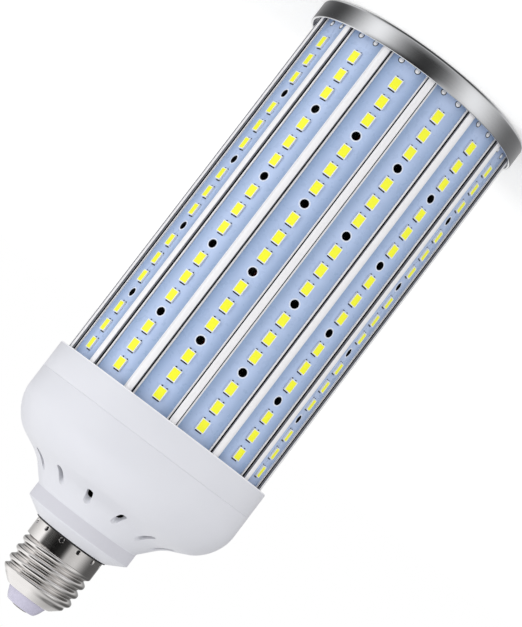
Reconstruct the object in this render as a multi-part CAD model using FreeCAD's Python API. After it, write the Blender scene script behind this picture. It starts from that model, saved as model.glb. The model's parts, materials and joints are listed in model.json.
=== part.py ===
import FreeCAD, Part
import math
import os

# Corn LED bulb, modelled standing on its flat cap end: +Z runs from the cap up to the screw base.
# The origin is the centre of the cap's end face. All sizes are in millimetres.

# Body: a hollow aluminium extrusion with one flat seat for each LED board
PANEL_COUNT = 14
SEAT_APOTHEM = 36.6
SINK_WALL = 1.6
BODY_SHOWN = 136.4
STEP = 2 * math.pi / PANEL_COUNT
HALF_STEP = STEP / 2

# Rails at the corners of the extrusion, with a neck narrower than the head
RAIL_HEIGHT = 3.75
RAIL_HEAD_HALF = 1.25
RAIL_HEAD_EDGE = 0.75
RAIL_CROWN = 0.3
RAIL_NECK_HALF = 0.65
RAIL_REACH = SEAT_APOTHEM + RAIL_HEIGHT

# Hooks beside each board seat
HOOK_WALL = 0.42
HOOK_LIP = 0.42
HOOK_OVERLAP = 0.15
BOARD_SIDE_GAP = 0.06
BOARD_FACE_GAP = 0.05

# Screw ports inside the extrusion, at these corners
PORT_CORNERS = (0, 3, 7, 10)
PORT_WALL_RADIUS = 3.0
PORT_BORE_RADIUS = 1.3
PORT_ROOT = 0.1
PORT_RADIUS = (SEAT_APOTHEM - SINK_WALL) / math.cos(HALF_STEP) + PORT_ROOT - PORT_WALL_RADIUS

# LED boards and chips, with a vent hole between each two groups of chips
BOARD_CORNER_SPACE = 1.68
BOARD_WIDTH = 2 * (SEAT_APOTHEM * math.tan(HALF_STEP) - BOARD_CORNER_SPACE)
BOARD_THICKNESS = 1.3
BOARD_END_GAP = 0.3
CHIP_GROUPS = 5
CHIPS_PER_GROUP = 3
CHIP_PITCH = 7.35
GROUP_PITCH = BODY_SHOWN / CHIP_GROUPS
SOLDER_SPACE = 1.2
CHIP_LENGTH = 4.4
CHIP_WIDTH = 3.3
CHIP_HEIGHT = 0.8
VENT_HOLE_RADIUS = 1.5
SLOT_WIDTH = 5.0
SLOT_END_MARGIN = 3.0

# Cap ring over the end of the rails, with a recess for the round board and a seat behind it
RING_FIT_GAP = 0.3
RING_WALL = 0.85
RING_RADIUS = RAIL_REACH + RING_FIT_GAP + RING_WALL
RING_HEIGHT = 7.6
RING_CHAMFER = 0.8
RING_LIP = 1.75
RING_RECESS = RAIL_REACH - RING_LIP
RING_RECESS_DEPTH = 2.2
RING_SEAT_WIDTH = 2.4
RING_SEAT_OPENING = RING_RECESS - RING_SEAT_WIDTH
RING_SEAT_THICKNESS = 1.2

# Round board inside the cap ring, with two circles of chips and one of vent holes
END_BOARD_THICKNESS = 1.6
END_BOARD_GAP = 0.25
END_BOARD_CORE_HOLE = 5.0
END_CHIP_CIRCLES = (0.35 * PORT_RADIUS, 0.7 * PORT_RADIUS)
END_CHIP_COUNTS = (6, 12)
END_VENT_CIRCLE = 0.525 * PORT_RADIUS
END_VENT_RADIUS = 2.0
END_VENT_COUNT = 6
SCREW_HOLE_RADIUS = 1.6

# Screws at both ends of the extrusion
SCREW_RADIUS = 1.25
SCREW_LENGTH = 8.0
SCREW_HEAD_RADIUS = 2.7
SCREW_HEAD_HEIGHT = 1.1

# Collar that takes the other end of the extrusion
COLLAR_FIT_GAP = 0.3
COLLAR_WALL = 1.7
SIDE_RADIUS = RAIL_REACH + COLLAR_FIT_GAP + COLLAR_WALL
COLLAR_HEIGHT = 9.7
COLLAR_FLOOR = 2.2
COLLAR_SHELF = 10.6
COLLAR_OPENING = SEAT_APOTHEM - COLLAR_SHELF
SPIGOT_HEIGHT = 3.0
SPIGOT_WALL = 1.4
SPIGOT_GAP = 0.2

# Screw base: the standard thread's crests set its widths
THREAD_RADIUS = 13.2
THREAD_HEIGHT = 12.0
BAND_HEIGHT = 5.9
FLANGE_STEP = 0.75
SHELL_FLANGE_RADIUS = THREAD_RADIUS + FLANGE_STEP
SHELL_FLANGE = 0.6
SHELL_WALL = 1.6
SHELL_BORE = THREAD_RADIUS - SHELL_WALL
SHOULDER_HEIGHT = 5.1
SHOULDER_STEP = 2.0
SHOULDER_STEP_RADIUS = THREAD_RADIUS - SHOULDER_STEP
SHOULDER_STEP_HEIGHT = 2.7
SHELL_END_STEP = 4.7
SHELL_END_RADIUS = THREAD_RADIUS - SHELL_END_STEP
SHELL_END_RIM = 1.0
SHELL_END_OPENING = SHELL_END_RADIUS - SHELL_END_RIM
SHELL_END_WALL = 0.6
CRIMP_COUNT = 12
CRIMP_TURN = 14.4
CRIMP_WIDTH = 1.3
CRIMP_LENGTH = 2.0
CRIMP_DEPTH = 0.7
TUBE_GAP = 0.2
TUBE_WALL = 1.8
TUBE_END_SPACE = 3.9
TUBE_LENGTH = BAND_HEIGHT + THREAD_HEIGHT - TUBE_END_SPACE
INSULATOR_GAP = 0.1
INSULATOR_FLANGE_WIDTH = 1.0
INSULATOR_FLANGE_RADIUS = SHELL_END_OPENING + INSULATOR_FLANGE_WIDTH
INSULATOR_FLANGE = 1.6
INSULATOR_HEIGHT = 4.2
INSULATOR_TAPER = 2.3
INSULATOR_END_RADIUS = SHELL_END_OPENING - INSULATOR_TAPER
CONTACT_EDGE = 1.9
CONTACT_RADIUS = INSULATOR_END_RADIUS - CONTACT_EDGE
CONTACT_HEIGHT = 0.5
CONTACT_SHANK_RADIUS = 1.2
CONTACT_SHANK_LENGTH = 7.0

# Flared housing: its bends keep their proportions to the run from its side to its neck
HOUSING_WALL = 2.0
HOUSING_SIDE = 7.9
CONE_STEP = 0.15
CONE_END_RADIUS = SHELL_FLANGE_RADIUS + CONE_STEP
CONE_HEIGHT = 3.5
NECK_STEP = 6.1
NECK_RADIUS = CONE_END_RADIUS + NECK_STEP
NECK_HEIGHT = 5.2
FLARE_RUN = SIDE_RADIUS - NECK_RADIUS
SHOULDER_BEND = 0.6772 * FLARE_RUN
FLANK_ANGLE = 64.5
FLARE_BEND = 0.5869 * FLARE_RUN
THROAT_ANGLE = 42.0
THROAT_RISE = 0.2122 * FLARE_RUN
SHOULDER_CONES = 4
FLARE_CONES = 2
INNER_SHOULDER_RADIUS = SIDE_RADIUS - 0.4 * SHOULDER_BEND
INNER_SHOULDER_RISE = HOUSING_SIDE + 0.473 * SHOULDER_BEND
INNER_NECK_DROP = 3.2
VENT_INSET = 3.8
VENT_INNER = NECK_RADIUS + VENT_INSET
VENT_REACH = 0.316 * FLARE_RUN
VENT_WIDTH = 2.4

# Driver inside the flared housing, on posts beside the collar's opening
DRIVER_INSET = 9.85
DRIVER_RADIUS = SIDE_RADIUS - DRIVER_INSET
DRIVER_THICKNESS = 1.6
POST_RADIUS = 2.8
POST_INSET = 0.4
POST_CIRCLE = COLLAR_OPENING + POST_RADIUS + POST_INSET
POST_HEIGHT = 4.0
POST_COUNT = 4
POST_TURN = 51.4
DRIVER_HOLE_RADIUS = 1.3
DRIVER_SCREW_RADIUS = 1.1
DRIVER_SCREW_LENGTH = 4.5
DRIVER_SCREW_HEAD_RADIUS = 2.2
DRIVER_SCREW_HEAD_HEIGHT = 1.0

# Parts of the driver: places are shares of the driver board's radius
CORE_LENGTH = 16.0
CORE_WIDTH = 5.0
CORE_HEIGHT = 14.0
CORE_PLACE = (0.0, 0.4)
BOBBIN_LENGTH = 10.0
BOBBIN_WIDTH = 12.0
BOBBIN_HEIGHT = 9.5
BOBBIN_LIFT = 2.0
CAPACITOR_RADIUS = 5.0
CAPACITOR_HEIGHT = 13.0
INPUT_CAPACITOR_PLACE = (-0.55, 0.06)
OUTPUT_CAPACITOR_PLACES = ((0.55, 0.06), (0.46, -0.34))
CHOKE_RADIUS = 4.5
CHOKE_HEIGHT = 9.0
CHOKE_PLACE = (-0.4, -0.4)
RECTIFIER_LENGTH = 9.0
RECTIFIER_WIDTH = 3.5
RECTIFIER_HEIGHT = 7.0
RECTIFIER_PLACE = (0.0, -0.6)
LEAD_RADIUS = 0.8
LEAD_INSET = 0.45
OUTPUT_LEAD_CIRCLE = COLLAR_OPENING - LEAD_RADIUS - LEAD_INSET
OUTPUT_LEAD_TURNS = (256.0, 284.0)
NEUTRAL_LEAD_GAP = 0.2
NEUTRAL_LEAD_SIDE = SHELL_BORE - TUBE_GAP - TUBE_WALL - LEAD_RADIUS - NEUTRAL_LEAD_GAP

# Flats on small round pieces that repeat
BAR_FLATS = 12

# Stations along the axis, worked out from the sizes above
RIM_FACE = 0.0
END_BOARD_FACE = RING_RECESS_DEPTH
END_BOARD_BACK = END_BOARD_FACE + END_BOARD_THICKNESS
SINK_START = END_BOARD_BACK + RING_SEAT_THICKNESS
RING_END = RING_HEIGHT
COLLAR_MOUTH = RING_END + BODY_SHOWN
SEAM = COLLAR_MOUTH + COLLAR_HEIGHT
SINK_END = SEAM - COLLAR_FLOOR
DRIVER_BASE = SEAM + POST_HEIGHT
DRIVER_FACE = DRIVER_BASE + DRIVER_THICKNESS

AXIS = FreeCAD.Vector(0, 0, 1)
ORIGIN = FreeCAD.Vector(0, 0, 0)


def vec(x, y, z=0.0):
    return FreeCAD.Vector(x, y, z)


def turned(shape, angle):
    copy = shape.copy()
    copy.rotate(ORIGIN, AXIS, math.degrees(angle))
    return copy


def revolved(points):
    """Solid of revolution about the axis from (radius, height) points."""
    corners = [vec(radius, 0, z) for radius, z in points]
    face = Part.Face(Part.makePolygon(corners + corners[:1]))
    return face.revolve(ORIGIN, AXIS, 360)


def bend(start, radius, angle_from, angle_to, hollow, count):
    """Points of a bend from start, as the ends of short cones, with angles from the axis.

    A full bend turns towards the axis as it rises, and a hollow one turns away from it again.
    """
    sign = -1 if hollow else 1
    points = []
    for i in range(1, count + 1):
        angle = angle_from + (angle_to - angle_from) * i / count
        drop = sign * radius * (math.cos(angle_from) - math.cos(angle))
        rise = sign * radius * (math.sin(angle) - math.sin(angle_from))
        points.append((start[0] - drop, start[1] + rise))
    return points


def cylinder(radius, height, x, y, z):
    return Part.makeCylinder(radius, height, vec(x, y, z))


def flatted_bar(radius, height, x, y, z):
    """Upright bar with twelve flats, for small round pieces and holes that repeat."""
    turns = [i * 2 * math.pi / BAR_FLATS for i in range(BAR_FLATS)]
    points = [vec(x + radius * math.cos(a), y + radius * math.sin(a), z) for a in turns]
    return Part.Face(Part.makePolygon(points + points[:1])).extrude(vec(0, 0, height))


def block(length, width, height, x, y, z):
    """Box centred on x and y, standing on z."""
    return Part.makeBox(length, width, height, vec(x - length / 2, y - width / 2, z))


def polar(radius, angle):
    return radius * math.cos(angle), radius * math.sin(angle)


def facet_point(normal, side, angle):
    """Point of a board's facet: distance along its outward normal and along its width."""
    x = normal * math.cos(angle) - side * math.sin(angle)
    y = normal * math.sin(angle) + side * math.cos(angle)
    return vec(x, y)


def chip_stations():
    """Heights of the chips' centres and of the vent holes between the groups."""
    chips = []
    holes = []
    for group in range(CHIP_GROUPS):
        middle = RING_END + SOLDER_SPACE + (group + 0.5) * GROUP_PITCH
        for place in range(CHIPS_PER_GROUP):
            chips.append(middle + (place - (CHIPS_PER_GROUP - 1) / 2) * CHIP_PITCH)
        if group < CHIP_GROUPS - 1:
            holes.append(middle + GROUP_PITCH / 2)
    return chips, holes


def hook_points():
    """Hook outline beside a board, as (distance along the seat's normal, sideways) points."""
    seat = SEAT_APOTHEM
    foot = BOARD_WIDTH / 2 + BOARD_SIDE_GAP
    lip_under = seat + BOARD_THICKNESS + BOARD_FACE_GAP
    lip_top = lip_under + HOOK_LIP
    hook_outer = foot + HOOK_WALL
    lip_edge = BOARD_WIDTH / 2 - HOOK_OVERLAP
    return [
        (seat, foot),
        (lip_under, foot),
        (lip_under, lip_edge),
        (lip_top, lip_edge),
        (lip_top, hook_outer),
        (seat, hook_outer),
    ]


def rail_points():
    """Rail outline beside its corner, as (distance from the axis, sideways) points."""
    edge_top = RAIL_REACH - RAIL_CROWN
    edge_under = edge_top - RAIL_HEAD_EDGE
    floor = (SEAT_APOTHEM - RAIL_NECK_HALF * math.sin(HALF_STEP)) / math.cos(HALF_STEP)
    return [
        (floor, RAIL_NECK_HALF),
        (edge_under, RAIL_NECK_HALF),
        (edge_under, RAIL_HEAD_HALF),
        (edge_top, RAIL_HEAD_HALF),
    ]


def sink_outline():
    """Closed outer outline of the extrusion's section."""
    edges = []
    hook = hook_points()
    rail = rail_points()
    foot = hook[0][1]
    for panel in range(PANEL_COUNT):
        angle = panel * STEP
        corner = angle + HALF_STEP
        rise = [facet_point(SEAT_APOTHEM, -foot, angle)]
        rise += [facet_point(n, s, angle) for n, s in hook]
        rise += [facet_point(d, -s, corner) for d, s in rail]
        crown = facet_point(RAIL_REACH, 0.0, corner)
        fall = [facet_point(d, s, corner) for d, s in reversed(rail)]
        fall += [facet_point(n, -s, angle + STEP) for n, s in reversed(hook)]
        edges += [Part.makeLine(a, b) for a, b in zip(rise, rise[1:])]
        edges.append(Part.Arc(rise[-1], crown, fall[0]).toShape())
        edges += [Part.makeLine(a, b) for a, b in zip(fall, fall[1:])]
    return Part.Wire(edges)


def heat_sink_body():
    length = SINK_END - SINK_START
    inner_radius = (SEAT_APOTHEM - SINK_WALL) / math.cos(HALF_STEP)
    corners = [vec(*polar(inner_radius, (i + 0.5) * STEP)) for i in range(PANEL_COUNT)]
    inner = Part.makePolygon(corners + corners[:1])
    section = Part.makeFace([sink_outline(), inner], "Part::FaceMakerBullseye")
    body = section.extrude(vec(0, 0, length))
    body.translate(vec(0, 0, SINK_START))
    ports = []
    bores = []
    for corner in PORT_CORNERS:
        x, y = polar(PORT_RADIUS, (corner + 0.5) * STEP)
        ports.append(flatted_bar(PORT_WALL_RADIUS, length, x, y, SINK_START))
        bores.append(flatted_bar(PORT_BORE_RADIUS, length, x, y, SINK_START))
    body = body.multiFuse(ports).removeSplitter()
    chips, holes = chip_stations()
    slot_start = holes[0] - SLOT_END_MARGIN
    slot_length = holes[-1] + SLOT_END_MARGIN - slot_start
    middle = SEAT_APOTHEM - SINK_WALL / 2
    slot = block(2 * SINK_WALL, SLOT_WIDTH, slot_length, middle, 0, slot_start)
    slots = [turned(slot, i * STEP) for i in range(PANEL_COUNT)]
    return body.cut(slots + bores)


def led_board(panel):
    length = SINK_END - SINK_START - 2 * BOARD_END_GAP
    middle = SEAT_APOTHEM + BOARD_THICKNESS / 2
    plate = block(BOARD_THICKNESS, BOARD_WIDTH, length, middle, 0, SINK_START + BOARD_END_GAP)
    drills = []
    for station in chip_stations()[1]:
        drill = flatted_bar(VENT_HOLE_RADIUS, BOARD_THICKNESS, 0, 0, 0)
        drill.rotate(ORIGIN, vec(0, 1, 0), 90)
        drill.translate(vec(SEAT_APOTHEM, 0, station))
        drills.append(drill)
    return turned(plate.cut(drills), panel * STEP)


def led_chips(panel):
    face = SEAT_APOTHEM + BOARD_THICKNESS
    chips = []
    for station in chip_stations()[0]:
        foot = station - CHIP_LENGTH / 2
        chip = block(CHIP_HEIGHT, CHIP_WIDTH, CHIP_LENGTH, face + CHIP_HEIGHT / 2, 0, foot)
        chips.append(turned(chip, panel * STEP))
    return Part.makeCompound(chips)


def cap_ring():
    bore = RAIL_REACH + RING_FIT_GAP
    return revolved([
        (RING_RECESS, RIM_FACE),
        (RING_RADIUS - RING_CHAMFER, RIM_FACE),
        (RING_RADIUS, RING_CHAMFER),
        (RING_RADIUS, RING_END),
        (bore, RING_END),
        (bore, SINK_START),
        (RING_SEAT_OPENING, SINK_START),
        (RING_SEAT_OPENING, END_BOARD_BACK),
        (RING_RECESS, END_BOARD_BACK),
    ])


def post_places():
    turns = [math.radians(POST_TURN) + i * 2 * math.pi / POST_COUNT for i in range(POST_COUNT)]
    return [polar(POST_CIRCLE, turn) for turn in turns]


def port_places():
    return [polar(PORT_RADIUS, (corner + 0.5) * STEP) for corner in PORT_CORNERS]


def end_board():
    radius = RING_RECESS - END_BOARD_GAP
    disc = cylinder(radius, END_BOARD_THICKNESS, 0, 0, END_BOARD_FACE)
    drills = [cylinder(END_BOARD_CORE_HOLE, END_BOARD_THICKNESS, 0, 0, END_BOARD_FACE)]
    for x, y in port_places():
        drills.append(flatted_bar(SCREW_HOLE_RADIUS, END_BOARD_THICKNESS, x, y, END_BOARD_FACE))
    for i in range(END_VENT_COUNT):
        x, y = polar(END_VENT_CIRCLE, (i + 0.5) * 2 * math.pi / END_VENT_COUNT)
        drills.append(flatted_bar(END_VENT_RADIUS, END_BOARD_THICKNESS, x, y, END_BOARD_FACE))
    return disc.cut(drills)


def end_chips():
    chips = []
    foot = END_BOARD_FACE - CHIP_HEIGHT
    for radius, count in zip(END_CHIP_CIRCLES, END_CHIP_COUNTS):
        for i in range(count):
            chip = block(CHIP_LENGTH, CHIP_WIDTH, CHIP_HEIGHT, radius, 0, foot)
            chips.append(turned(chip, i * 2 * math.pi / count))
    return Part.makeCompound(chips)


def end_screws():
    screws = []
    top = END_BOARD_FACE - SCREW_HEAD_HEIGHT
    for x, y in port_places():
        head = flatted_bar(SCREW_HEAD_RADIUS, SCREW_HEAD_HEIGHT, x, y, top)
        shank = flatted_bar(SCREW_RADIUS, SCREW_LENGTH, x, y, END_BOARD_FACE)
        screws.append(head.fuse(shank))
    return Part.makeCompound(screws)


def collar():
    inner = RAIL_REACH + COLLAR_FIT_GAP
    spigot_outer = SIDE_RADIUS - HOUSING_WALL - SPIGOT_GAP
    spigot_inner = spigot_outer - SPIGOT_WALL
    ring = revolved([
        (inner, COLLAR_MOUTH),
        (SIDE_RADIUS, COLLAR_MOUTH),
        (SIDE_RADIUS, SEAM),
        (spigot_outer, SEAM),
        (spigot_outer, SEAM + SPIGOT_HEIGHT),
        (spigot_inner, SEAM + SPIGOT_HEIGHT),
        (spigot_inner, SEAM),
        (COLLAR_OPENING, SEAM),
        (COLLAR_OPENING, SINK_END),
        (inner, SINK_END),
    ])
    posts = []
    drills = []
    depth = DRIVER_SCREW_LENGTH - DRIVER_THICKNESS
    for x, y in port_places():
        drills.append(flatted_bar(SCREW_HOLE_RADIUS, COLLAR_FLOOR, x, y, SINK_END))
    for x, y in post_places():
        posts.append(flatted_bar(POST_RADIUS, POST_HEIGHT, x, y, SEAM))
        drills.append(flatted_bar(DRIVER_SCREW_RADIUS, depth, x, y, DRIVER_BASE - depth))
    return ring.multiFuse(posts).cut(drills)


def collar_screws():
    screws = []
    for x, y in port_places():
        head = flatted_bar(SCREW_HEAD_RADIUS, SCREW_HEAD_HEIGHT, x, y, SEAM)
        shank = flatted_bar(SCREW_RADIUS, SCREW_LENGTH, x, y, SEAM - SCREW_LENGTH)
        screws.append(head.fuse(shank))
    return Part.makeCompound(screws)


def flare_outline():
    """Outer curve of the housing from its straight side to the top of the flare at the neck."""
    flank = math.radians(FLANK_ANGLE)
    throat = math.radians(THROAT_ANGLE)
    side_end = (SIDE_RADIUS, SEAM + HOUSING_SIDE)
    shoulder = bend(side_end, SHOULDER_BEND, 0.0, flank, False, SHOULDER_CONES)
    throat_radius = NECK_RADIUS + THROAT_RISE * math.tan(throat)
    flare_radius = throat_radius + FLARE_BEND * (math.cos(throat) - math.cos(flank))
    flank_rise = (shoulder[-1][0] - flare_radius) / math.tan(flank)
    flank_end = (flare_radius, shoulder[-1][1] + flank_rise)
    flare = bend(flank_end, FLARE_BEND, flank, throat, True, FLARE_CONES)
    neck = (NECK_RADIUS, flare[-1][1] + THROAT_RISE)
    return [side_end] + shoulder + [flank_end] + flare + [neck]


NECK_START = flare_outline()[-1][1]
NECK_END = NECK_START + NECK_HEIGHT
CONE_END = NECK_END + CONE_HEIGHT
TUBE_END = CONE_END + TUBE_LENGTH
SHELL_START = CONE_END
BAND_START = SHELL_START + SHELL_FLANGE
THREAD_START = BAND_START + BAND_HEIGHT
SHELL_SHOULDER = THREAD_START + THREAD_HEIGHT
SHELL_END = SHELL_SHOULDER + SHOULDER_HEIGHT
INSULATOR_END = SHELL_END + INSULATOR_HEIGHT
TIP = INSULATOR_END + CONTACT_HEIGHT


def lower_housing():
    tube_outer = SHELL_BORE - TUBE_GAP
    tube_inner = tube_outer - TUBE_WALL
    neck_bore = NECK_RADIUS - HOUSING_WALL
    side_bore = SIDE_RADIUS - HOUSING_WALL
    outside = [(side_bore, SEAM), (SIDE_RADIUS, SEAM)] + flare_outline() + [
        (NECK_RADIUS, NECK_END),
        (CONE_END_RADIUS, CONE_END),
        (tube_outer, CONE_END),
        (tube_outer, TUBE_END),
    ]
    inside = [
        (tube_inner, TUBE_END),
        (tube_inner, NECK_END - HOUSING_WALL),
        (neck_bore, NECK_END - HOUSING_WALL),
        (neck_bore, NECK_START - INNER_NECK_DROP),
        (INNER_SHOULDER_RADIUS, SEAM + INNER_SHOULDER_RISE),
        (side_bore, SEAM + HOUSING_SIDE),
    ]
    body = revolved(outside + inside)
    foot = SEAM + INNER_SHOULDER_RISE
    middle = VENT_INNER + VENT_REACH / 2
    slot = block(VENT_REACH, VENT_WIDTH, NECK_START - foot, middle, 0, foot)
    slots = [turned(slot, i * STEP) for i in range(PANEL_COUNT)]
    return body.cut(slots)


def screw_shell():
    body = revolved([
        (SHELL_BORE, SHELL_START),
        (SHELL_FLANGE_RADIUS, SHELL_START),
        (SHELL_FLANGE_RADIUS, BAND_START),
        (THREAD_RADIUS, BAND_START),
        (THREAD_RADIUS, SHELL_SHOULDER),
        (SHOULDER_STEP_RADIUS, SHELL_SHOULDER + SHOULDER_STEP_HEIGHT),
        (SHELL_END_RADIUS, SHELL_END),
        (SHELL_END_OPENING, SHELL_END),
        (SHELL_END_OPENING, SHELL_END - SHELL_END_WALL),
        (INSULATOR_FLANGE_RADIUS, SHELL_END - SHELL_END_WALL),
        (SHELL_BORE, SHELL_SHOULDER),
    ])
    crimp = block(CRIMP_DEPTH, CRIMP_WIDTH, CRIMP_LENGTH, THREAD_RADIUS, 0, BAND_START)
    first = math.radians(CRIMP_TURN)
    crimps = [turned(crimp, first + i * 2 * math.pi / CRIMP_COUNT) for i in range(CRIMP_COUNT)]
    return body.cut(crimps)


def base_insulator():
    neck = SHELL_END_OPENING - INSULATOR_GAP
    flange = INSULATOR_FLANGE_RADIUS - INSULATOR_GAP
    inside = SHELL_END - SHELL_END_WALL
    return revolved([
        (CONTACT_SHANK_RADIUS, inside - INSULATOR_FLANGE),
        (flange, inside - INSULATOR_FLANGE),
        (flange, inside),
        (neck, inside),
        (neck, SHELL_END),
        (INSULATOR_END_RADIUS, INSULATOR_END),
        (CONTACT_SHANK_RADIUS, INSULATOR_END),
    ])


def center_contact():
    return revolved([
        (0, INSULATOR_END - CONTACT_SHANK_LENGTH),
        (CONTACT_SHANK_RADIUS, INSULATOR_END - CONTACT_SHANK_LENGTH),
        (CONTACT_SHANK_RADIUS, INSULATOR_END),
        (CONTACT_RADIUS, INSULATOR_END),
        (CONTACT_RADIUS - CONTACT_HEIGHT, TIP),
        (0, TIP),
    ])


def driver_board():
    disc = cylinder(DRIVER_RADIUS, DRIVER_THICKNESS, 0, 0, DRIVER_BASE)
    drills = []
    for x, y in post_places():
        drills.append(flatted_bar(DRIVER_HOLE_RADIUS, DRIVER_THICKNESS, x, y, DRIVER_BASE))
    return disc.cut(drills)


def driver_screws():
    screws = []
    start = DRIVER_FACE - DRIVER_SCREW_LENGTH
    for x, y in post_places():
        head = flatted_bar(DRIVER_SCREW_HEAD_RADIUS, DRIVER_SCREW_HEAD_HEIGHT, x, y, DRIVER_FACE)
        shank = flatted_bar(DRIVER_SCREW_RADIUS, DRIVER_SCREW_LENGTH, x, y, start)
        screws.append(head.fuse(shank))
    return Part.makeCompound(screws)


def on_driver(place):
    """Point on the driver board from its shares of the board's radius."""
    return place[0] * DRIVER_RADIUS, place[1] * DRIVER_RADIUS


def bobbin_block():
    x, y = on_driver(CORE_PLACE)
    return block(BOBBIN_LENGTH, BOBBIN_WIDTH, BOBBIN_HEIGHT, x, y, DRIVER_FACE + BOBBIN_LIFT)


def transformer_core():
    x, y = on_driver(CORE_PLACE)
    frame = block(CORE_LENGTH, CORE_WIDTH, CORE_HEIGHT, x, y, DRIVER_FACE)
    return frame.cut(bobbin_block())


def transformer_winding():
    return bobbin_block()


def capacitor(place):
    return flatted_bar(CAPACITOR_RADIUS, CAPACITOR_HEIGHT, *on_driver(place), DRIVER_FACE)


def input_capacitor():
    return capacitor(INPUT_CAPACITOR_PLACE)


def output_capacitors():
    return Part.makeCompound([capacitor(place) for place in OUTPUT_CAPACITOR_PLACES])


def choke():
    return flatted_bar(CHOKE_RADIUS, CHOKE_HEIGHT, *on_driver(CHOKE_PLACE), DRIVER_FACE)


def bridge_rectifier():
    x, y = on_driver(RECTIFIER_PLACE)
    return block(RECTIFIER_LENGTH, RECTIFIER_WIDTH, RECTIFIER_HEIGHT, x, y, DRIVER_FACE)


def mains_leads():
    """Live lead on the axis, and neutral lead up the tube and over its end to the shell."""
    live_end = INSULATOR_END - CONTACT_SHANK_LENGTH
    live = flatted_bar(LEAD_RADIUS, live_end - DRIVER_FACE, 0, 0, DRIVER_FACE)
    turn = TUBE_END + LEAD_RADIUS
    upright = flatted_bar(LEAD_RADIUS, turn - DRIVER_FACE, NEUTRAL_LEAD_SIDE, 0, DRIVER_FACE)
    reach = math.sqrt(SHELL_BORE ** 2 - (LEAD_RADIUS / 2) ** 2)
    middle = (reach + NEUTRAL_LEAD_SIDE) / 2
    outward = block(reach - NEUTRAL_LEAD_SIDE, LEAD_RADIUS, LEAD_RADIUS, middle, 0, TUBE_END)
    return Part.makeCompound([live, upright.fuse(outward)])


def output_leads():
    length = DRIVER_BASE - END_BOARD_BACK
    leads = []
    for turn in OUTPUT_LEAD_TURNS:
        x, y = polar(OUTPUT_LEAD_CIRCLE, math.radians(turn))
        leads.append(flatted_bar(LEAD_RADIUS, length, x, y, END_BOARD_BACK))
    return Part.makeCompound(leads)


NODES = {
    "heat_sink_body": heat_sink_body,
    "cap_ring": cap_ring,
    "end_board": end_board,
    "end_board_chips": end_chips,
    "end_board_screws": end_screws,
    "collar": collar,
    "collar_screws": collar_screws,
    "lower_housing": lower_housing,
    "screw_shell": screw_shell,
    "base_insulator": base_insulator,
    "center_contact": center_contact,
    "driver_board": driver_board,
    "driver_screws": driver_screws,
    "transformer_core": transformer_core,
    "transformer_winding": transformer_winding,
    "input_capacitor": input_capacitor,
    "output_capacitors": output_capacitors,
    "choke": choke,
    "bridge_rectifier": bridge_rectifier,
    "mains_leads": mains_leads,
    "output_leads": output_leads,
}


def main():
    os.makedirs("parts", exist_ok=True)
    shapes = {name: make() for name, make in NODES.items()}
    for panel in range(PANEL_COUNT):
        shapes[f"led_board_{panel + 1:02d}"] = led_board(panel)
        shapes[f"led_chips_{panel + 1:02d}"] = led_chips(panel)
    for name, shape in shapes.items():
        shape.exportStep(os.path.join("parts", f"{name}.step"))


main()
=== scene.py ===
"""Looks of a corn LED bulb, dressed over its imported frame.

Sizes are in millimetres, in the frame's own axes: +Z runs from the flat cap ring up to the screw
base, and the pieces are brought to metres when they are finished.
"""

import json
import logging
import math
from collections.abc import Iterable
from dataclasses import dataclass
from enum import Enum

import bmesh
import bpy
from mathutils import Matrix, Vector

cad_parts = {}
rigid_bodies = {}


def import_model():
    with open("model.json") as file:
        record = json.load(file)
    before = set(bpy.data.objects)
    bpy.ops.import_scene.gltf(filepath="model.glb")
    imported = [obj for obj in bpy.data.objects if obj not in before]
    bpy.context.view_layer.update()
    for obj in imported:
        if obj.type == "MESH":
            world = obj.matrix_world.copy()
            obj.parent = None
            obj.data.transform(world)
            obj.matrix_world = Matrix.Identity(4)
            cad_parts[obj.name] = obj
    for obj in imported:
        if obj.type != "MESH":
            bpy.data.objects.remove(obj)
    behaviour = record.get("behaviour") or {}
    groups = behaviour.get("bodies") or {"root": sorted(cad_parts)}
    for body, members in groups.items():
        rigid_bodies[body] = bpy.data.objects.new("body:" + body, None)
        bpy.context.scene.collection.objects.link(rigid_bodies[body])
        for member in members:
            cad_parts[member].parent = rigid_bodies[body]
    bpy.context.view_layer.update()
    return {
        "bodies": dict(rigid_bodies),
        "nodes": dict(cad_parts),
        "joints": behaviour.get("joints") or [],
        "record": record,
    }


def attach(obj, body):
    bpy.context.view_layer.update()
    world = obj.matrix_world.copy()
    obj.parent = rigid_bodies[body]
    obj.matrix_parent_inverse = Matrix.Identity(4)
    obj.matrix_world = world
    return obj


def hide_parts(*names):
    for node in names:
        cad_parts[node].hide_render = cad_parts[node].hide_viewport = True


LOG = logging.getLogger("corn_bulb")
MM = 0.001
FULL_TURN = 2 * math.pi
BODY = "root"
PHOTO_WIDTH_PX = 522
ACROSS = "across"  # UV map that runs from -1 to 1 across a board
QUARTER = Matrix.Rotation(math.pi / 2, 4, "Y")  # turns +Z to +X, and +X to -Z
EDGE_SEGMENTS = 3  # of the rounding of an edge
BEND_SEGMENTS = 16  # of a bend of a millimetre or more


# Finishes


def linear(code: str) -> tuple[float, float, float, float]:
    """Turn an sRGB hex colour into the linear colour that shaders take.

    Args:
        code: Colour such as "#c0c0c0".

    Returns:
        Linear red, green, blue and an alpha of 1.
    """
    values = [int(code[i:i + 2], 16) / 255 for i in (1, 3, 5)]
    parts = [v / 12.92 if v <= 0.04045 else ((v + 0.055) / 1.055) ** 2.4 for v in values]
    return (parts[0], parts[1], parts[2], 1.0)


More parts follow.
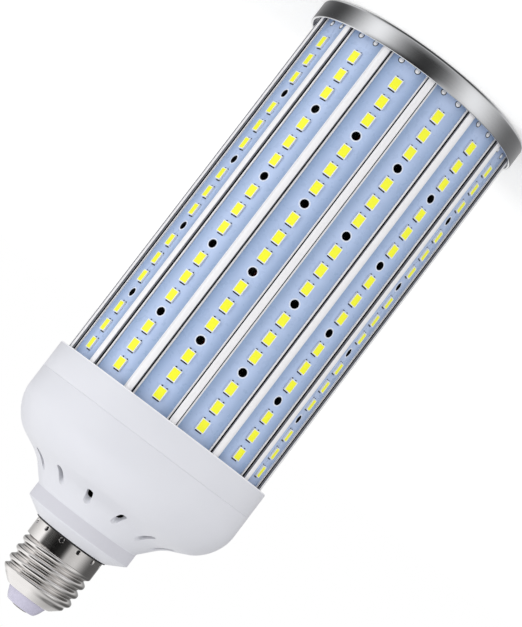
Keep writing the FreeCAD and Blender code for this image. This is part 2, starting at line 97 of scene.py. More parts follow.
def add_node(tree: bpy.types.NodeTree, kind: str, settings: dict | None = None,
             inputs: dict | None = None, links: dict | None = None) -> bpy.types.Node:
    """Add one node with its settings, socket values and incoming links.

    Args:
        tree: Node tree that takes the node.
        kind: Type name of the node.
        settings: Properties of the node itself.
        inputs: Values for its input sockets, by name or index.
        links: Output sockets to join to its input sockets, by name or index.

    Returns:
        The new node.
    """
    node = tree.nodes.new(kind)
    for key, value in (settings or {}).items():
        setattr(node, key, value)
    for key, value in (inputs or {}).items():
        node.inputs[key].default_value = value
    for key, source in (links or {}).items():
        tree.links.new(source, node.inputs[key])
    return node


def empty_tree(owner: bpy.types.Material | bpy.types.World) -> bpy.types.NodeTree:
    """Turn on a material's or a world's nodes and clear them.

    Args:
        owner: Material or world.

    Returns:
        Its node tree, with nothing in it.
    """
    owner.use_nodes = True
    owner.node_tree.nodes.clear()
    return owner.node_tree


@dataclass(frozen=True)
class Finish:
    """A surface with a fine grain: mottled colour, uneven gloss and a slight relief.

    The grain's size is a real one in millimetres, and stretch makes it longer along the axis.
    """

    name: str
    colour: str
    shade: str
    roughness: float
    metallic: float = 0.0
    ior: float = 1.5
    grain_mm: float = 1.0
    stretch: float = 1.0
    relief_mm: float = 0.002
    uneven: float = 0.05
    coat: float = 0.0
    coat_roughness: float = 0.06
    glow: float = 0.0

    def place(self, tree: bpy.types.NodeTree) -> bpy.types.NodeSocket:
        """Give the pattern's coordinates, with one unit to a grain.

        Args:
            tree: Node tree of the material.

        Returns:
            The vector socket that patterns read.
        """
        spot = add_node(tree, "ShaderNodeTexCoord").outputs["Object"]
        fine = 1 / (self.grain_mm * MM)
        scale = (fine, fine, fine / self.stretch)
        mapping = add_node(tree, "ShaderNodeMapping", inputs={"Scale": scale},
                           links={"Vector": spot})
        return mapping.outputs["Vector"]

    def pattern(self, tree: bpy.types.NodeTree) -> bpy.types.NodeSocket:
        """Give the grain itself as a value from 0 to 1.

        Args:
            tree: Node tree of the material.

        Returns:
            The value socket.
        """
        noise = add_node(tree, "ShaderNodeTexNoise", inputs={"Scale": 1.0, "Detail": 3.0},
                         links={"Vector": self.place(tree)})
        return noise.outputs["Fac"]

    def material(self) -> bpy.types.Material:
        """Build the node material of this finish.

        Returns:
            The material, made once and then found again by its name.
        """
        found = bpy.data.materials.get(self.name)
        if found:
            return found
        made = bpy.data.materials.new(self.name)
        tree = empty_tree(made)
        value = self.pattern(tree)
        tint = add_node(tree, "ShaderNodeMix", {"data_type": "RGBA"},
                        {6: linear(self.shade), 7: linear(self.colour)}, {0: value})
        gloss = add_node(tree, "ShaderNodeMapRange", None,
                         {"To Min": max(self.roughness - self.uneven, 0.02),
                          "To Max": min(self.roughness + self.uneven, 1.0)}, {"Value": value})
        relief = add_node(tree, "ShaderNodeBump", None,
                          {"Strength": 1.0, "Distance": self.relief_mm * MM}, {"Height": value})
        shader = add_node(tree, "ShaderNodeBsdfPrincipled", None,
                          {"Metallic": self.metallic, "IOR": self.ior, "Coat Weight": self.coat,
                           "Coat Roughness": self.coat_roughness},
                          {"Base Color": tint.outputs[2], "Roughness": gloss.outputs["Result"],
                           "Normal": relief.outputs["Normal"]})
        # painted glow: the finish lights itself a little, though it is no lamp
        if self.glow:
            shader.inputs["Emission Color"].default_value = linear(self.colour)
            shader.inputs["Emission Strength"].default_value = self.glow
        add_node(tree, "ShaderNodeOutputMaterial", links={"Surface": shader.outputs["BSDF"]})
        return made


@dataclass(frozen=True)
class TurnedFinish(Finish):
    """Metal cut on a lathe: fine rings round the axis, uneven from ring to ring."""

    def pattern(self, tree: bpy.types.NodeTree) -> bpy.types.NodeSocket:
        """Give the rings as a value from 0 to 1, by radius and height.

        Args:
            tree: Node tree of the material.

        Returns:
            The value socket.
        """
        place = self.place(tree)
        parts = add_node(tree, "ShaderNodeSeparateXYZ", links={"Vector": place})
        flat = add_node(tree, "ShaderNodeCombineXYZ",
                        links={"X": parts.outputs["X"], "Y": parts.outputs["Y"]})
        radius = add_node(tree, "ShaderNodeVectorMath", {"operation": "LENGTH"},
                          links={0: flat.outputs["Vector"]})
        rings = add_node(tree, "ShaderNodeMath", {"operation": "ADD"},
                         links={0: radius.outputs["Value"], 1: parts.outputs["Z"]})
        noise = add_node(tree, "ShaderNodeTexNoise", {"noise_dimensions": "1D"},
                         {"Scale": 1.0, "Detail": 2.0}, {"W": rings.outputs["Value"]})
        return noise.outputs["Fac"]


@dataclass(frozen=True)
class MaskFinish(Finish):
    """Solder mask on a board: darker towards the long edges, where the rails shade it.

    The board's UV map runs from -1 to 1 across it.
    """

    edge: str = "#94abcf"
    fade_start: float = 0.15

    def material(self) -> bpy.types.Material:
        """Build the mask with its darker edges.

        Returns:
            The material.
        """
        found = bpy.data.materials.get(self.name)
        if found:
            return found
        made = super().material()
        tree = made.node_tree
        shader = next(n for n in tree.nodes if n.type == "BSDF_PRINCIPLED")
        tint = shader.inputs["Base Color"].links[0].from_socket
        across = add_node(tree, "ShaderNodeUVMap", {"uv_map": ACROSS})
        parts = add_node(tree, "ShaderNodeSeparateXYZ", links={"Vector": across.outputs["UV"]})
        side = add_node(tree, "ShaderNodeMath", {"operation": "ABSOLUTE"},
                        links={0: parts.outputs["X"]})
        fade = add_node(tree, "ShaderNodeMapRange", {"interpolation_type": "SMOOTHSTEP"},
                        {"From Min": self.fade_start, "From Max": 1.0},
                        {"Value": side.outputs["Value"]})
        both = add_node(tree, "ShaderNodeMix", {"data_type": "RGBA"}, {7: linear(self.edge)},
                        {0: fade.outputs["Result"], 6: tint})
        tree.links.new(both.outputs[2], shader.inputs["Base Color"])
        return made


class Finishes(Enum):
    """Every finish on the bulb, from the real material and how its surface was made, some with
     painted shade, a painted highlight or a painted glow.
    """

    # 6063 aluminium, extruded and clear anodised: bright, with faint die lines along the rail
    RAIL = Finish("extruded_aluminium", "#fcfbfd", "#f3f2f5", 0.42, 0.1, grain_mm=0.25,
                  stretch=120.0, relief_mm=0.003, uneven=0.06)
    # painted half-shade: the sides of the same rails, painted mid-grey as they turn from the light
    FLANK_SHADE = Finish("rail_side_painted_shade", "#8c8d92", "#7c7d82", 0.5, 0.3, grain_mm=0.25, stretch=120.0,
                   relief_mm=0.003)
    # painted shade: the same extrusion in its narrow grooves, painted near black where shade falls;
    # also the screws' cross recesses
    GROOVE_SHADE = Finish("groove_painted_shade", "#16171a", "#08090a", 0.6, 0.6, grain_mm=0.4, stretch=60.0,
                    relief_mm=0.004)
    # aluminium ring, turned and polished: rings too fine to see are drawn at a quarter millimetre
    RING = TurnedFinish("polished_aluminium", "#e8e9eb", "#dedfe2", 0.14, 1.0, grain_mm=0.25,
                        relief_mm=0.0005, uneven=0.04)
    # white solder mask on an aluminium core board: screen printed, glossy, faintly blue in shade
    MASK = MaskFinish("solder_mask", "#bfd1f2", "#b8cbed", 0.28, grain_mm=2.5, relief_mm=0.001,
                      uneven=0.04, coat=0.3)
    # painted shade: the board's core where it is cut or drilled, painted dark as the holes and
    # edges lie in shade
    CORE_SHADE = Finish("drilled_aluminium_painted_shade", "#3c3e42", "#26272a", 0.5, 0.8, grain_mm=0.2)
    # silicone with yellow phosphor: poured, softly domed and a little grainy, with a faint painted
    # glow
    PHOSPHOR = Finish("phosphor_silicone", "#f5f534", "#eced26", 0.35, grain_mm=0.25,
                      relief_mm=0.006, uneven=0.08, glow=0.12)
    # white heat-proof nylon round each LED: moulded
    FRAME = Finish("moulded_nylon", "#f4f6f8", "#e6eaef", 0.4, grain_mm=0.5, relief_mm=0.002)
    # thin white print round each vent hole, through which the mask still shows
    PRINT = Finish("screened_print", "#e2e9f7", "#dbe4f5", 0.35, grain_mm=0.5, relief_mm=0.001)
    # painted shade: tin solder at the ends of each LED, painted dark as the shade at the packages'
    # ends; the same dark finish is the flux round the hand-made beads
    SOLDER_SHADE_AND_FLUX = Finish("solder_shade_and_flux", "#2c2e34", "#17181c", 0.4, 0.6, grain_mm=0.4, relief_mm=0.01)
    # tin solder of the hand-made joints: bright beads
    BEAD = Finish("solder_bead", "#fbfbfc", "#f0f1f4", 0.25, 0.0, grain_mm=0.8, relief_mm=0.004)
    # flame-proof ABS: injection moulded in a polished tool, so glossy with a faint waviness
    HOUSING = Finish("moulded_abs", "#e1e2e8", "#dedfe6", 0.34, grain_mm=9.0, relief_mm=0.001,
                     uneven=0.03)
    # painted shade: the same plastic on the neck, rougher and painted darker as the shade under the
    # flare
    NECK_SHADE = Finish("neck_painted_shade", "#d4d4db", "#d0d0d8", 0.6, grain_mm=0.4, relief_mm=0.004)
    # painted shade: the inside of the same white mouldings, painted dark where no light reaches
    INSIDE_SHADE = Finish("inside_painted_shade", "#26262b", "#1e1e23", 0.7, grain_mm=3.0, relief_mm=0.002)
    # painted highlight: the thin lip of the collar's mouth, painted whiter than the housing
    LIP_HIGHLIGHT = Finish("lip_painted_highlight", "#fcfcff", "#f8f8fc", 0.4, grain_mm=3.0, relief_mm=0.001)
    # nickel on drawn steel: bright, with a faint ripple from the thread rolling
    NICKEL = TurnedFinish("nickel_plate", "#ebe8e6", "#e3e0de", 0.1, 1.0, grain_mm=0.6,
                          relief_mm=0.0002, uneven=0.03)
    # painted shade: the same shell in its crimps and at the rim under the housing, painted dark
    NICKEL_SHADE = Finish("nickel_painted_shade", "#2e2e30", "#222224", 0.6, 0.5, grain_mm=0.3,
                     relief_mm=0.0005)
    # opaque glassy insulator of the screw base: pressed, lilac-white
    INSULATOR = Finish("pressed_insulator", "#cac7da", "#c0bdd2", 0.22, grain_mm=1.5,
                       relief_mm=0.001, coat=0.4)
    # painted shade: tin-lead on brass, the flat contact at the tip, painted darker as its shaded
    # side
    CONTACT_SHADE = Finish("contact_painted_shade", "#6f695f", "#554f47", 0.4, 0.8, grain_mm=0.7,
                     relief_mm=0.006, uneven=0.1)
    # zinc plated steel screws
    SCREW = Finish("zinc_plate", "#c9ccd0", "#aeb2b8", 0.3, 1.0, grain_mm=0.4, relief_mm=0.002)
    # green glass-cloth laminate of the driver
    LAMINATE = Finish("glass_laminate", "#2f5a34", "#264b2b", 0.4, grain_mm=0.8, relief_mm=0.004)
    # sintered ferrite: matt black and slightly pitted
    FERRITE = Finish("sintered_ferrite", "#2c2c30", "#1e1e22", 0.7, grain_mm=0.5, relief_mm=0.02)
    # yellow polyester tape round the windings
    TAPE = Finish("polyester_tape", "#d9a92c", "#c99a24", 0.3, grain_mm=3.0, relief_mm=0.01)
    # shrunk PVC sleeve of capacitors and choke
    SLEEVE = Finish("shrunk_sleeve", "#24242a", "#1a1a20", 0.35, grain_mm=3.0, relief_mm=0.006)
    # black epoxy body of the rectifier
    EPOXY = Finish("moulded_epoxy", "#26262a", "#1c1c20", 0.5, grain_mm=0.3, relief_mm=0.01)
    # silicone jacket of the leads
    JACKET = Finish("silicone_jacket", "#b8261f", "#a31f19", 0.45, grain_mm=1.0, relief_mm=0.004)

    def made(self) -> bpy.types.Material:
        """Give the finish as a Blender material."""
        return self.value.material()


BOARD_FINISHES = [Finishes.MASK, Finishes.CORE_SHADE, Finishes.PRINT, Finishes.BEAD, Finishes.SOLDER_SHADE_AND_FLUX]
CHIP_FINISHES = [Finishes.FRAME, Finishes.PHOSPHOR, Finishes.SOLDER_SHADE_AND_FLUX]


# Mesh making


def outline(bm: bmesh.types.BMesh, points: list, closed: bool = False) -> list[bmesh.types.BMVert]:
    """Join points by edges, each to the next.

    Args:
        bm: Mesh that takes them.
        points: The points, in mm.
        closed: Join the last point to the first.

    Returns:
        One vertex a point.
    """
    verts = [bm.verts.new(p) for p in points]
    for pair in zip(verts, verts[1:] + (verts[:1] if closed else [])):
        bm.edges.new(pair)
    return verts


def soften(bm: bmesh.types.BMesh, geom: list, size: float, segments: int = EDGE_SEGMENTS,
           affect: str = "VERTICES") -> None:
    """Round some corners of an outline, or some edges.

    Args:
        bm: Mesh that holds them.
        geom: The vertices or edges.
        size: Rounding, in mm.
        segments: Segments of the rounding.
        affect: "VERTICES" or "EDGES".
    """
    bmesh.ops.bevel(bm, geom=geom, offset=size, offset_type="OFFSET", affect=affect,
                    segments=segments, profile=0.5, material=-1)


def spin(bm: bmesh.types.BMesh, steps: int) -> None:
    """Spin a whole outline once round the axis, in a number of steps."""
    bmesh.ops.spin(bm, geom=bm.verts[:] + bm.edges[:], cent=(0, 0, 0), axis=(0, 0, 1),
                   dvec=(0, 0, 0), angle=FULL_TURN, steps=steps, use_merge=True)


def thicken(bm: bmesh.types.BMesh, place: tuple[float, float, float],
            depth: tuple[float, float, float]) -> None:
    """Give a flat sheet its thickness.

    Args:
        bm: Mesh that holds the sheet alone.
        place: Move of the whole sheet, in mm.
        depth: Move of its far face from its near face, in mm.
    """
    grown = bmesh.ops.extrude_face_region(bm, geom=bm.faces[:])["geom"]
    far = [v for v in grown if isinstance(v, bmesh.types.BMVert)]
    bmesh.ops.translate(bm, vec=place, verts=bm.verts[:])
    bmesh.ops.translate(bm, vec=depth, verts=far)
    bmesh.ops.recalc_face_normals(bm, faces=bm.faces[:])


def paint(faces: Iterable[bmesh.types.BMFace], index: int) -> None:
    """Give faces one material index."""
    for face in faces:
        face.material_index = index


def turned_profile(points: list[tuple[float, float, float]], closed: bool = True,
                   steps: int = 192) -> bmesh.types.BMesh:
    """Round a profile's corners and spin it about the axis.

    Args:
        points: Radius, height and corner rounding of each point, in mm.
        closed: Join the last point to the first.
        steps: Divisions of the full turn.

    Returns:
        The turned shape, in mm.
    """
    bm = bmesh.new()
    verts = outline(bm, [(r, 0.0, z) for r, z, _ in points], closed)
    for size in sorted({p[2] for p in points if p[2] > 0}):
        rounded = [v for v, p in zip(verts, points) if p[2] == size]
        soften(bm, rounded, size, EDGE_SEGMENTS if size < 1 else BEND_SEGMENTS)
    spin(bm, steps)
    bmesh.ops.remove_doubles(bm, verts=bm.verts[:], dist=1e-5)
    bmesh.ops.recalc_face_normals(bm, faces=bm.faces[:])
    return bm


def box(bm: bmesh.types.BMesh, low: tuple[float, float, float],
        high: tuple[float, float, float], edge: float = 0.0,
        segments: int = 2) -> list[bmesh.types.BMFace]:
    """Add a box with softened edges.

    Args:
        bm: Mesh that takes it.
        low: Lowest corner, in mm.
        high: Highest corner, in mm.
        edge: Rounding of all the edges, in mm.
        segments: Segments of the rounding.

    Returns:
        The box's faces.
    """
    before = set(bm.faces)
    size = [h - l for l, h in zip(low, high)]
    centre = Vector([(l + h) / 2 for l, h in zip(low, high)])
    matrix = Matrix.Translation(centre) @ Matrix.Diagonal((*size, 1.0))
    verts = bmesh.ops.create_cube(bm, size=1.0, matrix=matrix)["verts"]
    if edge > 0:
        edges = list({e for v in verts for e in v.link_edges})
        soften(bm, edges, edge, segments, "EDGES")
    return [f for f in bm.faces if f not in before]


def join(bm: bmesh.types.BMesh, piece: bmesh.types.BMesh, places: list[Matrix],
         spent: bool = True) -> None:
    """Add placed copies of one mesh to another.

    Args:
        bm: Mesh that takes the copies.
        piece: Mesh that is copied.
        places: Place of each copy.
        spent: The piece is needed no more, and is freed.
    """
    for place in places:
        mesh = bpy.data.meshes.new("copy")
        piece.to_mesh(mesh)
        mesh.transform(place)
        bm.from_mesh(mesh)
        bpy.data.meshes.remove(mesh)
    if spent:
        piece.free()


def turn(angle: float) -> Matrix:
    """Give the turn about the bulb's axis by an angle in radians."""
    return Matrix.Rotation(angle, 4, "Z")


def evenly(count: int) -> list[Matrix]:
    """Give the turns that set a number of pieces evenly round the axis."""
    return [turn(i * FULL_TURN / count) for i in range(count)]


def link(name: str, data: bpy.types.ID) -> bpy.types.Object:
    """Make an object of a mesh, a lamp or a camera, and link it to the scene.

    Args:
        name: Name of the object.
        data: What it shows.

    Returns:
        The object.
    """
    made = bpy.data.objects.new(name, data)
    bpy.context.scene.collection.objects.link(made)
    return made


def in_metres(bm: bmesh.types.BMesh, name: str) -> bpy.types.Object:
    """Make an object of a mesh in mm, at the origin.

    Args:
        bm: Finished mesh. It is freed.
        name: Name of the object and its mesh.

    Returns:
        The object.
    """
    bmesh.ops.scale(bm, vec=(MM, MM, MM), verts=bm.verts[:])
    mesh = bpy.data.meshes.new(name)
    bm.to_mesh(mesh)
    bm.free()
    return link(name, mesh)


def finished(bm: bmesh.types.BMesh, name: str, finishes: list[Finishes],
             replaced: tuple[str, ...], crease_deg: float = 32.0) -> bpy.types.Object:
    """Make the object of a mesh, dress it and put it in the frame.

    Args:
        bm: Finished mesh in mm. It is freed.
        name: Name of the piece.
        finishes: Finishes in the order of the faces' material indices.
        replaced: Nodes of the frame that it stands for.
        crease_deg: Angle over which an edge stays sharp.

    Returns:
        The object.
    """
    limit = math.radians(crease_deg)
    for face in bm.faces:
        face.smooth = True
    for edge in bm.edges:
        edge.smooth = len(edge.link_faces) == 2 and edge.calc_face_angle(0.0) < limit
    piece = in_metres(bm, name)
    for finish in finishes:
        piece.data.materials.append(finish.made())
    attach(piece, BODY)
    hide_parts(*replaced)
    LOG.info("%s: %d faces", name, len(piece.data.polygons))
    return piece


# Body


@dataclass
class ExtrudedBody:
    """The many-sided aluminium extrusion with its rails, hooks and vent slots."""

    panels: int = 14
    apothem: float = 36.6
    wall: float = 1.6
    reach: float = 40.35
    head_half: float = 1.25
    head_edge: float = 0.75
    crown: float = 0.3
    neck_half: float = 0.65
    head_round: float = 0.22
    board_half: float = 6.67
    board_thickness: float = 1.3
    side_gap: float = 0.06
    face_gap: float = 0.05
    hook: float = 0.42
    hook_round: float = 0.1
    overlap: float = 0.15
    flank_depth: float = 1.2
    slot_half: float = 2.5
    start: float = 5.0
    end: float = 151.5
    slot_start: float = 33.08
    slot_end: float = 120.92

    def under(self) -> float:
        """Give the distance of the hooks' undersides from the axis."""
        return self.apothem + self.board_thickness + self.face_gap

    def section(self, bm: bmesh.types.BMesh) -> None:
        """Draw one panel's outer outline, from the middle of a seat to the middle of the next.

        Args:
            bm: Empty mesh that takes the outline as a row of edges.
        """
        half = math.pi / self.panels
        foot = self.board_half + self.side_gap
        under = self.under()
        lip = under + self.hook
        floor = (self.apothem - self.neck_half * math.sin(half)) / math.cos(half)
        top = self.reach - self.crown
        hook = [(self.apothem, self.slot_half), (self.apothem, foot), (under, foot),
                (under, self.board_half - self.overlap), (lip, self.board_half - self.overlap),
                (lip, foot + self.hook), (self.apothem, foot + self.hook)]
        rail = [(floor, self.neck_half), (top - self.head_edge, self.neck_half),
                (top - self.head_edge, self.head_half), (top, self.head_half)]
        points = [Vector((n, s, 0)) for n, s in hook]
        corner = turn(half)
        points += [corner @ Vector((n, -s, 0)) for n, s in rail]
        points.append(corner @ Vector((self.reach, 0, 0)))
        points += [corner @ Vector((n, s, 0)) for n, s in reversed(rail)]
        points += [turn(2 * half) @ Vector((n, -s, 0)) for n, s in reversed(hook)]
        verts = outline(bm, points)
        crown = len(points) // 2
        # the rail's two shoulders beside its crown, then the two corners of each hook's lip
        soften(bm, [verts[crown - 1], verts[crown + 1]], self.head_round)
        soften(bm, [verts[4], verts[5], verts[-5], verts[-6]], self.hook_round, 2)

    def panel(self) -> bmesh.types.BMesh:
        """Extrude one panel's outline along the bulb.

        Returns:
            The panel's outside, in mm.
        """
        bm = bmesh.new()
        self.section(bm)
        grown = bmesh.ops.extrude_edge_only(bm, edges=bm.edges[:])["geom"]
        far = [v for v in grown if isinstance(v, bmesh.types.BMVert)]
        bmesh.ops.translate(bm, vec=(0, 0, self.end - self.start), verts=far)
        bmesh.ops.translate(bm, vec=(0, 0, self.start), verts=bm.verts[:])
        return bm

    def seat(self) -> bmesh.types.BMesh:
        """Build the wall in the middle of a seat, above and below its vent slot.

        Returns:
            The wall between two panels, with the slot's ends closed, in mm.
        """
        bm = bmesh.new()
        faces = box(bm, (self.apothem - self.wall, -self.slot_half, self.start),
                    (self.apothem, self.slot_half, self.end))
        sides = [f for f in faces if abs(f.normal.y) > 0.9]
        bmesh.ops.delete(bm, geom=sides, context="FACES_ONLY")
        for height in (self.slot_start, self.slot_end):
            bmesh.ops.bisect_plane(bm, geom=bm.verts[:] + bm.edges[:] + bm.faces[:], dist=1e-5,
                                   plane_co=(0, 0, height), plane_no=(0, 0, 1))
        slot = [f for f in bm.faces if self.slot_start < f.calc_center_median().z < self.slot_end]
        bmesh.ops.delete(bm, geom=slot, context="FACES_ONLY")
        for height in (self.slot_start, self.slot_end):
            rims = [e for e in bm.edges if all(abs(v.co.z - height) < 0.01 for v in e.verts)]
            bmesh.ops.bridge_loops(bm, edges=rims)
        return bm

    def shade(self, face: bmesh.types.BMFace) -> int:
        """Tell the finish of a face from where it lies and looks.

        Args:
            face: Face of the whole body.

        Returns:
            0 for the seats, hooks and rails, 1 for the grooves' painted shade, 2 for the rails'
            sides'
         painted half-shade.
        """
        step = FULL_TURN / self.panels
        centre = face.calc_center_median()
        angle, out = math.atan2(centre.y, centre.x), math.hypot(centre.x, centre.y)
        off = (angle + step / 2) % step - step / 2
        lip = self.under() + self.hook
        beside = abs(out * math.sin(off)) > self.board_half + 0.3
        if beside and out * math.cos(off) < lip - 0.05:
            return 1
        rail = turn(math.floor(angle / step) * step + step / 2) @ Vector((1, 0, 0))
        if out > lip + 0.3 and abs(face.normal.z) < 0.5 and face.normal.dot(rail) < 0.3:
            return 2 if out > self.reach - self.flank_depth else 1
        return 0

    def build(self) -> None:
        """Set panels and seats round the axis, close their seams and set the finishes."""
        bm = bmesh.new()
        for part in (self.panel(), self.seat()):
            join(bm, part, evenly(self.panels))
        bmesh.ops.remove_doubles(bm, verts=bm.verts[:], dist=1e-4)
        bmesh.ops.recalc_face_normals(bm, faces=bm.faces[:])
        # grooves and rail sides get painted shade
        for face in bm.faces:
            face.material_index = self.shade(face)
        finished(bm, "heat_sink", [Finishes.RAIL, Finishes.GROOVE_SHADE, Finishes.FLANK_SHADE],
                 ("heat_sink_body",))


@dataclass
class LedBoards:
    """The long boards with their LED packages, printed pads, vent holes and solder beads."""

    panels: int = 14
    seat: float = 36.6
    width: float = 13.34
    thickness: float = 1.3
    start: float = 5.3
    end: float = 151.2
    first_group: float = 22.44
    groups: int = 5
    per_group: int = 3
    pitch: float = 7.35
    group_pitch: float = 27.28
    hole: float = 1.5
    halo: float = 0.45
    film: float = 0.03
    chip_length: float = 4.4
    chip_width: float = 3.3
    chip_height: float = 0.8
    chip_edge: float = 0.1
    chip_border: float = 0.05
    phosphor_length: float = 3.85
    phosphor_width: float = 2.8
    phosphor_depth: float = 0.08
    phosphor_dome: float = 0.04
    dome_edge: float = 0.5
    pad_height: float = 0.12
    pad_length: float = 0.4
    pad_width: float = 2.5
    pad_tuck: float = 0.02
    dot_width: float = 0.6
    flux: float = 1.1
    bead: float = 0.9
    bead_flatness: float = 0.55
    bead_sink: float = 0.15
    bead_side: float = 3.2
    bead_height: float = 7.5

    def stations(self) -> tuple[list[float], list[float]]:
        """Work out the heights of the LEDs and of the vent holes.

        Returns:
            The heights of the LEDs' centres, and those of the holes.
        """
        middles = [self.first_group + g * self.group_pitch for g in range(self.groups)]
        first = (self.per_group - 1) / 2
        leds = [m + (i - first) * self.pitch for m in middles for i in range(self.per_group)]
        holes = [m + self.group_pitch / 2 for m in middles[:-1]]
        return leds, holes

    def plate(self) -> bmesh.types.BMesh:
        """Build one board with its holes, facing +X.

        Returns:
            The board in mm. Its faces are 0 for the mask and 1 for the core's painted shade.
        """
        bm = bmesh.new()
        half = self.width / 2
        outline(bm, [(0, -half, self.start), (0, half, self.start), (0, half, self.end),
                     (0, -half, self.end)], closed=True)
        for height in self.stations()[1]:
            bmesh.ops.create_circle(bm, cap_ends=False, radius=self.hole, segments=32,
                                    matrix=Matrix.Translation((0, 0, height)) @ QUARTER)
        bmesh.ops.triangle_fill(bm, use_beauty=True, edges=bm.edges[:], normal=(1, 0, 0))
        thicken(bm, (self.seat, 0, 0), (self.thickness, 0, 0))
        # cut faces and hole walls get painted shade
        paint([f for f in bm.faces if f.normal.x <= 0.9], 1)
        return bm

    def halos(self, bm: bmesh.types.BMesh) -> None:
        """Add the printed ring round each vent hole, and two solder beads by the cap ring.

        Args:
            bm: Board that takes them. Its new faces are 2 for print, 3 for the beads and 4 for
                the dark flux round them.
        """
        face = self.seat + self.thickness
        outer = self.hole + self.halo
        ring = turned_profile([(self.hole, 0, 0), (outer, 0, 0), (outer - 0.1, self.film, 0),
                               (self.hole, self.film, 0)], steps=32)
        paint(ring.faces, 2)
        join(bm, ring, [Matrix.Translation((face, 0, height)) @ QUARTER
                        for height in self.stations()[1]])
        sides = (-self.bead_side, self.bead_side)
        spill = turned_profile([(0, self.film, 0), (self.flux, self.film, 0), (self.flux, 0, 0)],
                               closed=False, steps=24)
        paint(spill.faces, 4)
        join(bm, spill, [Matrix.Translation((face, side, self.bead_height)) @ QUARTER
                         for side in sides])
        drop = bmesh.new()
        bmesh.ops.create_uvsphere(drop, u_segments=20, v_segments=12, radius=self.bead)
        bmesh.ops.scale(drop, vec=(self.bead_flatness, 1.0, 1.0), verts=drop.verts[:])
        paint(drop.faces, 3)
        join(bm, drop, [Matrix.Translation((face - self.bead_sink, side, self.bead_height))
                        for side in sides])

    def chip(self) -> bmesh.types.BMesh:
        """Build one LED package at the origin, facing +X.

        Returns:
            The package in mm. Its faces are 0 for the frame, 1 for phosphor, 2 for the solder's
         painted shade.
        """
        bm = bmesh.new()
        w, l, h = self.chip_width / 2, self.chip_length / 2, self.chip_height
        frame = box(bm, (0, -w, -l), (h, w, l), self.chip_edge)
        top = max(frame, key=lambda f: f.calc_center_median().x)
        bmesh.ops.inset_individual(bm, faces=[top], thickness=self.chip_border, depth=0.0)
        wide, long = (max(abs(v.co[k]) for v in top.verts) * 2 for k in (1, 2))
        scale = (1, self.phosphor_width / wide, self.phosphor_length / long)
        bmesh.ops.scale(bm, vec=scale, verts=top.verts[:])
        bmesh.ops.inset_individual(bm, faces=[top], thickness=self.chip_border,
                                   depth=-self.phosphor_depth)
        pool = bmesh.ops.inset_individual(bm, faces=[top], thickness=self.dome_edge,
                                          depth=self.phosphor_dome)
        paint([top, *pool["faces"]], 1)
        side = self.pad_width / 2
        near, far = l - self.pad_tuck, l + self.pad_length
        pads = [(near, far, -side, side)]
        pads += [(-far, -near, y, y + self.dot_width) for y in (-side, side - self.dot_width)]
        for foot, head, left, right in pads:
            # the pads at both ends get painted shade
            paint(box(bm, (-0.01, left, foot), (self.pad_height, right, head), 0.05, 1), 2)
        return bm

    def mapped(self, bm: bmesh.types.BMesh) -> None:
        """Give a board that faces +X the map that runs from -1 to 1 across it.

        Args:
            bm: Board in mm.
        """
        across = bm.loops.layers.uv.new(ACROSS)
        for face in bm.faces:
            for loop in face.loops:
                loop[across].uv = (2 * loop.vert.co.y / self.width, loop.vert.co.z / self.width)

    def build(self) -> None:
        """Build every board and its LEDs, each turned to its own panel."""
        plate = self.plate()
        self.halos(plate)
        self.mapped(plate)
        strip = bmesh.new()
        join(strip, self.chip(), [Matrix.Translation((self.seat + self.thickness, 0, height))
                                  for height in self.stations()[0]])
        for number, place in enumerate(evenly(self.panels), 1):
            label = f"{number:02d}"
            board, leds = bmesh.new(), bmesh.new()
            join(board, plate, [place], spent=False)
            join(leds, strip, [place], spent=False)
            finished(board, f"board_{label}", BOARD_FINISHES, (f"led_board_{label}",))
            finished(leds, f"leds_{label}", CHIP_FINISHES, (f"led_chips_{label}",))
        plate.free()
        strip.free()


# Cap end


